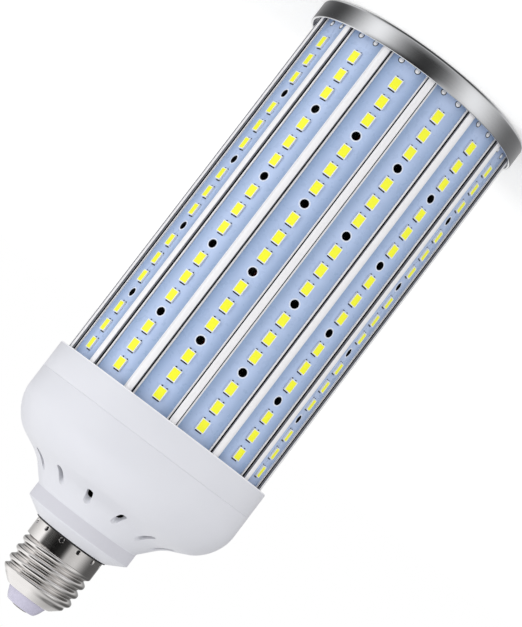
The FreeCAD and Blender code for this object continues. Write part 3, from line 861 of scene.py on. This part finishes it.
@dataclass
class CapEnd:
    """The cap ring, with the round board, its LEDs and its screws inside it."""

    radius: float = 41.5
    height: float = 7.6
    chamfer: float = 0.8
    bore: float = 40.65
    recess: float = 38.6
    seat_opening: float = 36.2
    board_face: float = 2.2
    board_back: float = 3.8
    seat_back: float = 5.0
    board_radius: float = 38.35
    core_hole: float = 5.0
    vent_circle: float = 17.325
    led_circles: tuple[tuple[float, int], ...] = ((11.55, 6), (23.1, 12))
    vent: float = 2.0
    vents: int = 6
    screw_circle: float = 33.0
    screw_hole: float = 1.6
    head: float = 2.7
    head_crown: float = 1.5
    head_height: float = 1.1
    shank: float = 1.22
    shank_length: float = 8.0
    cross_half: float = 1.2
    cross_width: float = 0.4
    screw_turns: tuple[float, ...] = (0.5, 3.5, 7.5, 10.5)
    panels: int = 14

    def ring(self) -> None:
        """Build the turned ring with its softened outer edges."""
        profile = [(self.recess, 0, 0.15), (self.radius - self.chamfer, 0, 0.3),
                   (self.radius, self.chamfer, 0.3), (self.radius, self.height, 0.25),
                   (self.bore, self.height, 0.15), (self.bore, self.seat_back, 0),
                   (self.seat_opening, self.seat_back, 0), (self.seat_opening, self.board_back, 0),
                   (self.recess, self.board_back, 0)]
        finished(turned_profile(profile), "polished_ring", [Finishes.RING], ("cap_ring",))

    def screw_places(self) -> list[Matrix]:
        """Give the places of the screws.

        Returns:
            One place a screw, on the board's outer face.
        """
        step = FULL_TURN / self.panels
        return [turn(t * step) @ Matrix.Translation((self.screw_circle, 0, self.board_face))
                for t in self.screw_turns]

    def board(self) -> None:
        """Build the round board with its holes."""
        bm = bmesh.new()
        centre = Matrix.Identity(4)
        holes = [(centre, self.board_radius, 128), (centre, self.core_hole, 48)]
        for i in range(self.vents):
            angle = (i + 0.5) * FULL_TURN / self.vents
            place = turn(angle) @ Matrix.Translation((self.vent_circle, 0, 0))
            holes.append((place, self.vent, 32))
        holes += [(p, self.screw_hole, 24) for p in self.screw_places()]
        for place, radius, segments in holes:
            flat = Matrix.Translation((*place.translation.xy, 0))
            bmesh.ops.create_circle(bm, cap_ends=False, radius=radius, segments=segments,
                                    matrix=flat)
        bmesh.ops.triangle_fill(bm, use_beauty=True, edges=bm.edges[:], normal=(0, 0, -1))
        thicken(bm, (0, 0, self.board_face), (0, 0, self.board_back - self.board_face))
        across = bm.loops.layers.uv.new(ACROSS)
        for face in bm.faces:
            # cut faces and hole walls get painted shade
            face.material_index = 1 if abs(face.normal.z) < 0.5 else 0
            for loop in face.loops:
                loop[across].uv = (0.0, 0.0)
        finished(bm, "round_board", [Finishes.MASK, Finishes.CORE_SHADE], ("end_board",))

    def leds(self, chip: bmesh.types.BMesh) -> None:
        """Set LEDs in two rings on the round board.

        Args:
            chip: One package, facing +X. It is freed.
        """
        bm = bmesh.new()
        join(bm, chip, [place @ Matrix.Translation((radius, 0, self.board_face)) @ QUARTER
                        for radius, count in self.led_circles for place in evenly(count)])
        finished(bm, "round_board_leds", CHIP_FINISHES, ("end_board_chips",))

    def screws(self) -> None:
        """Build the pan head screws with their crosses."""
        top, tip = -self.head_height, self.shank_length
        head = turned_profile([(0, 0, 0), (self.head, 0, 0), (self.head, -0.45, 0.25),
                               (self.head_crown, top, 0.4), (0, top, 0)], closed=False, steps=32)
        shank = turned_profile([(0, 0, 0), (self.shank, 0, 0), (self.shank, tip - 0.4, 0.3),
                                (0, tip, 0)], closed=False, steps=24)
        # the cross recess is a thin dark sheet on the head: painted shade
        cross = bmesh.new()
        half = self.cross_width / 2
        paint(box(cross, (-self.cross_half, -half, top + 0.005),
                  (self.cross_half, half, top + 0.05)), 1)
        places = self.screw_places()
        bm = bmesh.new()
        join(bm, head, places)
        join(bm, shank, places)
        join(bm, cross, [p @ turn(quarter) for p in places for quarter in (0, math.pi / 2)])
        finished(bm, "round_board_screws", [Finishes.SCREW, Finishes.GROOVE_SHADE],
                 ("end_board_screws",))

    def build(self, chip: bmesh.types.BMesh) -> None:
        """Build the whole cap end.

        Args:
            chip: One LED package, facing +X. It is freed.
        """
        self.ring()
        self.board()
        self.leds(chip)
        self.screws()


# Housing


@dataclass
class Housing:
    """The white collar and the flared housing, with its slots and its neck."""

    side: float = 42.35
    mouth: float = 144.0
    seam: float = 153.7
    floor: float = 151.5
    fit: float = 40.65
    opening: float = 26.0
    wall: float = 2.0
    straight: float = 7.9
    shoulder: float = 15.0
    flank_deg: float = 64.5
    flare: float = 13.0
    throat_deg: float = 42.0
    throat_rise: float = 4.7
    neck: float = 20.2
    neck_height: float = 5.2
    cone_height: float = 3.5
    cone_end: float = 14.1
    tube: float = 11.4
    tube_wall: float = 1.8
    tube_length: float = 14.0
    slots: int = 14
    slot_width: float = 2.4
    slot_inner: float = 24.0
    slot_outer: float = 31.0
    slot_foot: float = 15.0
    slot_foot_bore: float = 36.35
    seam_groove: float = 0.12
    neck_bore_foot: float = 3.2
    spigot_gap: float = 0.2
    spigot_wall: float = 1.4
    spigot_height: float = 3.0
    post: float = 2.8
    post_height: float = 4.0
    post_circle: float = 29.2
    posts_deg: tuple[float, ...] = (51.4, 141.4, 231.4, 321.4)
    steps: int = 224

    def bends(self) -> tuple[float, float, float, float]:
        """Work out where the flare's two bends begin.

        Returns:
            The flank's and the throat's slope in radians, and the radii in mm at the throat's
            foot and at the flare's foot.
        """
        flank, throat = math.radians(self.flank_deg), math.radians(self.throat_deg)
        throat_radius = self.neck + self.throat_rise * math.tan(throat)
        flare_radius = throat_radius + self.flare * (math.cos(throat) - math.cos(flank))
        return flank, throat, throat_radius, flare_radius

    def neck_start(self) -> float:
        """Give the height at which the flare meets the neck."""
        flank, throat, _, flare_radius = self.bends()
        shoulder_end = self.side - self.shoulder * (1 - math.cos(flank))
        flank_rise = (shoulder_end - flare_radius) / math.tan(flank)
        return (self.seam + self.straight + self.shoulder * math.sin(flank) + flank_rise
                + self.flare * (math.sin(flank) - math.sin(throat)) + self.throat_rise)

    def shell(self) -> bmesh.types.BMesh:
        """Turn the housing's wall, with true bends at the shoulder and the flare.

        Returns:
            The wall without its slots, in mm. Its faces are 0 for the outside, 1 for the inside,
         painted dark as shade, and 2 for the neck, painted darker as shade.
        """
        flank, throat, throat_radius, flare_radius = self.bends()
        shoulder_cut = self.shoulder * math.tan(flank / 2)
        flare_cut = self.flare * math.tan((flank - throat) / 2)
        top = self.neck_start()
        throat_foot = top - self.throat_rise
        flare_foot = throat_foot - self.flare * (math.sin(flank) - math.sin(throat))
        corner_radius = throat_radius + flare_cut * math.sin(throat)
        corner_height = throat_foot - flare_cut * math.cos(throat)
        neck_end = top + self.neck_height
        tube_start = neck_end + self.cone_height
        tube_end = tube_start + self.tube_length
        side_bore, neck_bore = self.side - self.wall, self.neck - self.wall
        tube_bore, neck_roof = self.tube - self.tube_wall, neck_end - self.wall
        outside = [
            (side_bore, self.seam, 0), (self.side, self.seam, self.seam_groove),
            (self.side, self.seam + self.straight + shoulder_cut, shoulder_cut),
            (corner_radius, corner_height, flare_cut), (self.neck, top, 0.4),
            (self.neck, neck_end, 0.3), (self.cone_end, tube_start, 0.3),
            (self.tube, tube_start, 0), (self.tube, tube_end, 0.4)]
        inside = [
            (tube_bore, tube_end, 0), (tube_bore, neck_roof, 0), (neck_bore, neck_roof, 0),
            (neck_bore, top - self.neck_bore_foot, 0),
            (throat_radius - self.wall * math.cos(throat),
             throat_foot - self.wall * math.sin(throat), 0),
            (flare_radius - self.wall * math.cos(flank),
             flare_foot - self.wall * math.sin(flank), 0),
            (self.slot_foot_bore, self.seam + self.slot_foot, 0),
            (side_bore, self.seam + self.straight, 0)]
        wall = turned_profile(outside + inside, steps=self.steps)
        # the inside and the neck's band get painted shade
        for face in wall.faces:
            spot, normal = face.calc_center_median(), face.normal
            inward = normal.x * spot.x + normal.y * spot.y < -0.05 or normal.z < -0.05
            if inward:
                face.material_index = 1 if spot.z > self.seam + 0.2 else 0
            elif abs(normal.z) < 0.1 and top < spot.z < neck_end:
                face.material_index = 2
        return wall

    def cutters(self) -> bpy.types.Object:
        """Build the rounded bars that cut the slots.

        Returns:
            An object with all the bars, to be used once and removed.
        """
        bar = bmesh.new()
        half = self.slot_width / 2
        box(bar, (self.slot_inner, -half, self.seam + self.slot_foot),
            (self.slot_outer, half, self.neck_start()))
        upright = [e for e in bar.edges if abs(e.verts[0].co.z - e.verts[1].co.z) > 1.0]
        soften(bar, upright, half - 0.05, 6, "EDGES")
        bm = bmesh.new()
        join(bm, bar, evenly(self.slots))
        return in_metres(bm, "slot_bars")

    def collar(self) -> None:
        """Build the collar with the driver's four posts."""
        spigot = self.side - self.wall - self.spigot_gap
        spigot_bore, spigot_end = spigot - self.spigot_wall, self.seam + self.spigot_height
        bm = turned_profile([
            (self.fit, self.mouth, 0.15), (self.side, self.mouth, 0.35),
            (self.side, self.seam, self.seam_groove), (spigot, self.seam, 0),
            (spigot, spigot_end, 0.2), (spigot_bore, spigot_end, 0.2), (spigot_bore, self.seam, 0),
            (self.opening, self.seam, 0), (self.opening, self.floor, 0),
            (self.fit, self.floor, 0)], steps=self.steps)
        post = turned_profile([(0, 0, 0), (self.post, 0, 0), (self.post, self.post_height, 0.2),
                               (0, self.post_height, 0)], closed=False, steps=24)
        join(bm, post, [turn(math.radians(degrees))
                        @ Matrix.Translation((self.post_circle, 0, self.seam))
                        for degrees in self.posts_deg])
        # the mouth's lip gets a painted highlight
        paint([f for f in bm.faces if f.calc_center_median().z < self.mouth + 0.5], 1)
        finished(bm, "white_collar", [Finishes.HOUSING, Finishes.LIP_HIGHLIGHT],
                 ("collar",))

    def build(self) -> None:
        """Build the collar, and the housing with its slots cut."""
        self.collar()
        housing = finished(self.shell(), "flared_housing",
                           [Finishes.HOUSING, Finishes.INSIDE_SHADE, Finishes.NECK_SHADE],
                           ("lower_housing",))
        bars = self.cutters()
        cut = housing.modifiers.new("slots", "BOOLEAN")
        cut.object = bars
        cut.operation = "DIFFERENCE"
        cut.solver = "EXACT"
        graph = bpy.context.evaluated_depsgraph_get()
        mesh = bpy.data.meshes.new_from_object(housing.evaluated_get(graph))
        housing.modifiers.clear()
        mesh.name = "flared_housing"
        housing.data = mesh
        bpy.data.objects.remove(bars)
        LOG.info("flared_housing: %d slots cut", self.slots)


# Screw base


@dataclass
class ScrewBase:
    """The plated shell with its crimps and rolled thread, its insulator and its contact."""

    start: float = 194.11
    flange: float = 13.95
    flange_height: float = 0.6
    band: float = 13.2
    band_height: float = 5.9
    crest: float = 13.2
    root: float = 11.8
    pitch: float = 3.63
    thread_height: float = 12.0
    shoulder_height: float = 5.1
    knee: float = 11.2
    knee_height: float = 2.7
    end: float = 8.5
    opening: float = 7.5
    sheet: float = 0.45
    run_in: float = 0.15
    sharpness: float = 1.6
    rows: int = 220
    columns: int = 400
    crimps: int = 12
    crimp_turn_deg: float = 14.4
    crimp_width: float = 1.3
    crimp_length: float = 1.5
    crimp_foot: float = 0.2
    crimp_depth: float = 0.6
    crimp_reach: float = 1.15
    crimp_blend: float = 0.4
    shade_depth: float = 0.6
    phase_deg: float = 148.0
    insulator_height: float = 4.2
    insulator_end: float = 5.2
    insulator_flange: float = 8.5
    insulator_sink: float = 0.6
    insulator_foot: float = 1.6
    insulator_gap: float = 0.1
    contact: float = 3.3
    contact_height: float = 0.5
    pin: float = 1.2
    pin_length: float = 7.0

    def crimp_dent(self, angle: float, height: float) -> float:
        """Measure how deep the crimps press the band in at a place.

        Args:
            angle: Angle about the axis, in radians.
            height: Height over the flange, in mm.

        Returns:
            Depth in mm.
        """
        step = FULL_TURN / self.crimps
        off = (angle - math.radians(self.crimp_turn_deg) + step / 2) % step - step / 2
        across = abs(off) * self.band / (self.crimp_width / 2)
        along = abs(height - self.crimp_foot - self.crimp_length / 2) / (self.crimp_length / 2)
        reach = math.hypot(across, along)
        pressed = (self.crimp_reach - reach) / self.crimp_blend
        return self.crimp_depth * min(max(pressed, 0.0), 1.0)

    def groove_at(self, angle: float, above: float) -> float:
        """Work out how far a place is from the thread's crest, from 0 to 1 at the root.

        Args:
            angle: Angle about the axis, in radians.
            above: Height over the band, in mm.

        Returns:
            Share of the thread's depth.
        """
        turns = above / self.pitch - angle / FULL_TURN + self.phase_deg / 360
        return (0.5 - 0.5 * math.cos(FULL_TURN * turns)) ** self.sharpness

    def radius_at(self, angle: float, height: float) -> float:
        """Work out the shell's radius at a place.

        Args:
            angle: Angle about the axis, in radians.
            height: Height over the flange, in mm.

        Returns:
            Radius in mm.
        """
        if height <= self.band_height:
            return self.band - self.crimp_dent(angle, height)
        above = height - self.band_height
        over = max(above - self.thread_height, 0.0) / self.knee_height
        crest = self.crest - (self.crest - self.knee) * over ** self.sharpness
        start = min(above / (self.run_in * self.pitch), 1.0)
        depth = (self.crest - self.root) * start * (1 - over)
        return crest - depth * self.groove_at(angle, above)

    def shell(self) -> None:
        """Build the shell: flange, band with crimps, thread and rounded shoulder."""
        bm = bmesh.new()
        top = self.band_height + self.thread_height + self.knee_height
        outline(bm, [(self.band, 0, top * i / self.rows) for i in range(self.rows + 1)])
        spin(bm, self.columns)
        for vert in bm.verts:
            radius = self.radius_at(math.atan2(vert.co.y, vert.co.x), vert.co.z)
            vert.co.xy = vert.co.xy * (radius / self.band)
        # the deep parts of the crimps get painted shade
        for face in bm.faces:
            spot = face.calc_center_median()
            dent = self.crimp_dent(math.atan2(spot.y, spot.x), spot.z)
            crimp = spot.z < self.band_height and dent > self.shade_depth * self.crimp_depth
            face.material_index = 1 if crimp else 0
        foot = self.start + self.flange_height
        bmesh.ops.translate(bm, vec=(0, 0, foot), verts=bm.verts[:])
        top += foot
        end = top - self.knee_height + self.shoulder_height
        shoulder = turned_profile([
            (self.knee, top, 0), (self.end, end - 0.1, 0.6), (self.opening, end, 0),
            (self.opening, end - self.sheet, 0)], closed=False, steps=self.columns)
        rim = turned_profile([
            (self.band - self.sheet, self.start, 0), (self.flange, self.start, 0.1),
            (self.flange, self.start + self.flange_height / 2, 0.1), (self.band, foot, 0)],
            closed=False, steps=self.columns)
        # the rim in the gap under the housing gets painted shade
        paint(rim.faces, 1)
        for part in (shoulder, rim):
            join(bm, part, [Matrix.Identity(4)])
        bmesh.ops.remove_doubles(bm, verts=bm.verts[:], dist=1e-3)
        bmesh.ops.recalc_face_normals(bm, faces=bm.faces[:])
        finished(bm, "threaded_shell", [Finishes.NICKEL, Finishes.NICKEL_SHADE],
                 ("screw_shell",))

    def build(self) -> None:
        """Build the shell, the insulator and the contact."""
        self.shell()
        end = (self.start + self.flange_height + self.band_height + self.thread_height
               + self.shoulder_height)
        tip = end + self.insulator_height
        seat = end - self.insulator_sink
        foot, wide = seat - self.insulator_foot, self.opening - self.insulator_gap
        finished(turned_profile([
            (self.pin, foot, 0), (self.insulator_flange, foot, 0),
            (self.insulator_flange, seat, 0.2), (wide, seat, 0), (wide, end, 0.1),
            (self.insulator_end + 0.9, tip - 1.1, 0.8), (self.insulator_end, tip, 0.3),
            (self.pin, tip, 0)], steps=128),
            "lilac_insulator", [Finishes.INSULATOR], ("base_insulator",))
        finished(turned_profile([
            (0, tip - self.pin_length, 0), (self.pin, tip - self.pin_length, 0),
            (self.pin, tip, 0), (self.contact, tip, 0.1),
            (self.contact - self.contact_height, tip + self.contact_height, 0.4),
            (0, tip + self.contact_height, 0)], closed=False, steps=96),
            "tip_contact", [Finishes.CONTACT_SHADE], ("center_contact",))


# Inside


@dataclass
class Driver:
    """The driver inside the housing, which keeps its frame nodes and gets real finishes."""

    finishes: tuple[tuple[str, Finishes], ...] = (
        ("collar_screws", Finishes.SCREW), ("driver_board", Finishes.LAMINATE),
        ("driver_screws", Finishes.SCREW), ("transformer_core", Finishes.FERRITE),
        ("transformer_winding", Finishes.TAPE), ("input_capacitor", Finishes.SLEEVE),
        ("output_capacitors", Finishes.SLEEVE), ("choke", Finishes.SLEEVE),
        ("bridge_rectifier", Finishes.EPOXY), ("mains_leads", Finishes.JACKET),
        ("output_leads", Finishes.JACKET))

    def dress(self, nodes: dict[str, bpy.types.Object]) -> None:
        """Give each inner node its finish.

        Args:
            nodes: The frame's nodes by name.
        """
        for name, finish in self.finishes:
            mesh = nodes[name].data
            mesh.materials.clear()
            mesh.materials.append(finish.made())
            LOG.info("%s: %s", name, finish.value.name)


# Studio


@dataclass
class Studio:
    """Camera at the photograph's angle, pale floor and soft light.

    A pair of numbers is where a change of shade begins and ends: as a share of the way up or to
    the side for the room, and in metres from the bulb for the floor.
    """

    view_deg: float = 274.76
    distance: float = 730.0
    eye_height: float = 151.75
    aim_height: float = 96.75
    focal_px: float = 2195.0
    roll_deg: float = 52.76
    side_step: float = 4.75
    sensor_mm: float = 36.0
    floor_half: float = 4000.0
    floor_colour: str = "#ffffff"
    floor_lift: float = 0.2
    far_lift: float = 0.42
    floor_change: tuple[float, float] = (0.05, 0.6)
    lamps: tuple[tuple[str, float, float], ...] = (
        ("left_box", 58.0, 3.9), ("right_box", -52.0, 2.2))
    lamp_distance: float = 900.0
    lamp_height: float = 500.0
    lamp_width: float = 420.0
    lamp_length: float = 1200.0
    lamp_aim: float = 110.0
    fill: float = 0.66
    gamma: float = 2.2
    wall_gain: float = 1.2
    wall_change: tuple[float, float] = (-0.03, 0.05)
    ceiling: float = 0.88
    ceiling_end: float = 0.2
    ceiling_start: tuple[float, float] = (0.28, 0.55)
    ceiling_change: tuple[float, float] = (-0.1, 0.6)
    ground: float = 0.5
    ground_end: float = 0.06
    ground_start: tuple[float, float] = (-0.25, -0.5)
    ground_change: tuple[float, float] = (-0.7, -0.88)
    low_walls: tuple[tuple[int, float], ...] = (
        (-180, 0.6), (-117, 0.27), (-61, 0.95), (-5, 0.21), (51, 0.92), (114, 0.4), (180, 0.6))
    high_walls: tuple[tuple[int, float], ...] = (
        (-180, 0.9), (-150, 0.7), (-80, 0.98), (-58, 0.25), (-26, 0.08), (0, 0.18), (22, 0.72),
        (52, 0.78), (106, 0.34), (150, 0.36), (180, 0.9))

    def camera(self) -> None:
        """Set the camera so that the screw base points down to the left."""
        angle = math.radians(self.view_deg)
        out = Vector((math.cos(angle), math.sin(angle), 0))
        eye = (out * self.distance + Vector((0, 0, self.eye_height))) * MM
        aim = Vector((0, 0, self.aim_height)) * MM
        forward = (aim - eye).normalized()
        cap = Vector((0, 0, -1))
        along = (cap - forward * cap.dot(forward)).normalized()
        across = forward.cross(along)
        eye += across * self.side_step * MM
        roll = math.radians(self.roll_deg)
        right = along * math.cos(roll) + across * math.sin(roll)
        up = along * math.sin(roll) - across * math.cos(roll)
        data = bpy.data.cameras.new("view")
        data.sensor_fit = "HORIZONTAL"
        data.sensor_width = self.sensor_mm
        data.lens = self.focal_px / PHOTO_WIDTH_PX * data.sensor_width
        data.clip_start, data.clip_end = 0.01, 20.0
        camera = link("view", data)
        turned = Matrix((right, up, -forward)).transposed().to_4x4()
        camera.matrix_world = Matrix.Translation(eye) @ turned
        bpy.context.scene.camera = camera

    def floor(self) -> None:
        """Lay the pale floor, white paper to the camera, which gloss doesn't see."""
        bm = bmesh.new()
        bmesh.ops.create_grid(bm, x_segments=1, y_segments=1, size=self.floor_half)
        floor = in_metres(bm, "floor")
        paper = bpy.data.materials.new("white_paper")
        tree = empty_tree(paper)
        path = add_node(tree, "ShaderNodeLightPath")
        matt = add_node(tree, "ShaderNodeBsdfDiffuse", inputs={"Color": linear(self.floor_colour)})
        spot = add_node(tree, "ShaderNodeTexCoord").outputs["Object"]
        reach = add_node(tree, "ShaderNodeVectorMath", {"operation": "LENGTH"}, links={0: spot})
        # less by the bulb, so that its shadow stays, and more far off, where the lamps don't reach
        near, far = self.floor_change
        raised = add_node(tree, "ShaderNodeMapRange", None,
                          {"From Min": near, "From Max": far, "To Min": self.floor_lift,
                           "To Max": self.far_lift}, {"Value": reach.outputs["Value"]})
        lift = add_node(tree, "ShaderNodeMath", {"operation": "MULTIPLY"},
                        links={0: path.outputs["Is Camera Ray"], 1: raised.outputs["Result"]})
        light = add_node(tree, "ShaderNodeEmission", links={"Strength": lift.outputs["Value"]})
        both = add_node(tree, "ShaderNodeAddShader",
                        links={0: matt.outputs["BSDF"], 1: light.outputs["Emission"]})
        add_node(tree, "ShaderNodeOutputMaterial", links={"Surface": both.outputs["Shader"]})
        floor.data.materials.append(paper)
        floor.visible_glossy = False

    def lamp(self, name: str, angle_deg: float, power: float) -> None:
        """Hang one soft box beside the bulb, upright and turned to its axis.

        Args:
            name: Name of the lamp.
            angle_deg: Its angle about the bulb's axis from the camera's direction.
            power: Power in watts.
        """
        angle = math.radians(self.view_deg + angle_deg)
        place = Vector((math.cos(angle) * self.lamp_distance,
                        math.sin(angle) * self.lamp_distance, self.lamp_height)) * MM
        aim = Vector((0, 0, self.lamp_aim)) * MM
        data = bpy.data.lights.new(name, "AREA")
        data.shape = "RECTANGLE"
        data.size, data.size_y = self.lamp_width * MM, self.lamp_length * MM
        data.energy = power
        lamp = link(name, data)
        lamp.location = place
        lamp.rotation_euler = (aim - place).to_track_quat("-Z", "Y").to_euler()
        lamp.visible_glossy = False

    def wall(self, tree: bpy.types.NodeTree, turned: bpy.types.NodeSocket,
             levels: tuple[tuple[int, float], ...]) -> bpy.types.NodeSocket:
        """Paint the walls' brightness by the angle from the camera's side.

        Args:
            tree: Node tree of the world.
            turned: Angle about the axis, from 0 to 1 for a full turn.
            levels: Angle in degrees and shade, from 0 to 1 as it shows, of each wall or flag.

        Returns:
            The socket with the light's strength.
        """
        ramp = add_node(tree, "ShaderNodeValToRGB", links={"Fac": turned})
        ramp.color_ramp.interpolation = "EASE"
        stops = ramp.color_ramp.elements
        while len(stops) < len(levels):
            stops.new(1.0)
        for stop, (degrees, level) in zip(stops, levels):
            stop.position = degrees / 360 + 0.5
            stop.color = (level, level, level, 1.0)
        strength = add_node(tree, "ShaderNodeMath", {"operation": "POWER"}, {1: self.gamma},
                            {0: ramp.outputs["Color"]})
        return strength.outputs["Value"]

    def world(self) -> None:
        """Set the room's even light, and the flags, walls and ceiling that gloss shows."""
        world = bpy.data.worlds.new("room")
        bpy.context.scene.world = world
        tree = empty_tree(world)
        angle = math.radians(self.view_deg)
        way = add_node(tree, "ShaderNodeTexCoord").outputs["Generated"]
        parts = add_node(tree, "ShaderNodeSeparateXYZ", links={"Vector": way})
        front, side = (add_node(tree, "ShaderNodeVectorMath", {"operation": "DOT_PRODUCT"},
                                {1: axis}, {0: way})
                       for axis in ((math.cos(angle), math.sin(angle), 0.0),
                                    (math.sin(angle), -math.cos(angle), 0.0)))
        around = add_node(tree, "ShaderNodeMath", {"operation": "ARCTAN2"},
                          links={0: side.outputs["Value"], 1: front.outputs["Value"]})
        turned = add_node(tree, "ShaderNodeMapRange", None,
                          {"From Min": -math.pi, "From Max": math.pi},
                          {"Value": around.outputs["Value"]}).outputs["Result"]
        upper, over, under = (
            add_node(tree, "ShaderNodeMapRange", {"interpolation_type": "SMOOTHSTEP"},
                     {"From Min": low, "From Max": high}, {"Value": parts.outputs["Z"]})
            for low, high in (self.wall_change, self.ceiling_start, self.ground_start))
        above, below = (
            add_node(tree, "ShaderNodeMapRange", None,
                     {"From Min": low, "From Max": high, "To Min": first, "To Max": last},
                     {"Value": value})
            for (low, high), first, last, value in (
                (self.ceiling_change, self.ceiling, self.ceiling_end, side.outputs["Value"]),
                (self.ground_change, self.ground, self.ground_end, parts.outputs["Z"])))
        low_walls, high_walls = (self.wall(tree, turned, levels)
                                 for levels in (self.low_walls, self.high_walls))
        room = low_walls
        for share, other in ((upper, high_walls), (over, above.outputs["Result"]),
                             (under, below.outputs["Result"])):
            room = add_node(tree, "ShaderNodeMix", {"data_type": "FLOAT"},
                            links={0: share.outputs["Result"], 2: room, 3: other}).outputs[0]
        gloss = add_node(tree, "ShaderNodeMath", {"operation": "MULTIPLY"}, {1: self.wall_gain},
                         {0: room})
        path = add_node(tree, "ShaderNodeLightPath")
        fill = add_node(tree, "ShaderNodeMix", {"data_type": "FLOAT"}, {2: self.fill},
                        {0: path.outputs["Is Glossy Ray"], 3: gloss.outputs["Value"]})
        level = add_node(tree, "ShaderNodeMix", {"data_type": "FLOAT"}, {3: 1.0},
                         {0: path.outputs["Is Camera Ray"], 2: fill.outputs[0]})
        sky = add_node(tree, "ShaderNodeBackground", inputs={"Color": (1, 1, 1, 1)},
                       links={"Strength": level.outputs[0]})
        add_node(tree, "ShaderNodeOutputWorld", links={"Surface": sky.outputs["Background"]})

    def build(self) -> None:
        """Set up the whole studio."""
        self.camera()
        self.floor()
        for name, angle_deg, power in self.lamps:
            self.lamp(name, angle_deg, power)
        self.world()
        bpy.context.scene.view_settings.view_transform = "Standard"


def main() -> None:
    """Build the studio and every piece of the bulb, in order."""
    logging.basicConfig(level=logging.INFO, format="%(name)s %(message)s")
    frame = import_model()
    Studio().build()
    ExtrudedBody().build()
    boards = LedBoards()
    boards.build()
    CapEnd().build(boards.chip())
    Housing().build()
    ScrewBase().build()
    Driver().dress(frame["nodes"])


if __name__ == "__main__":
    main()
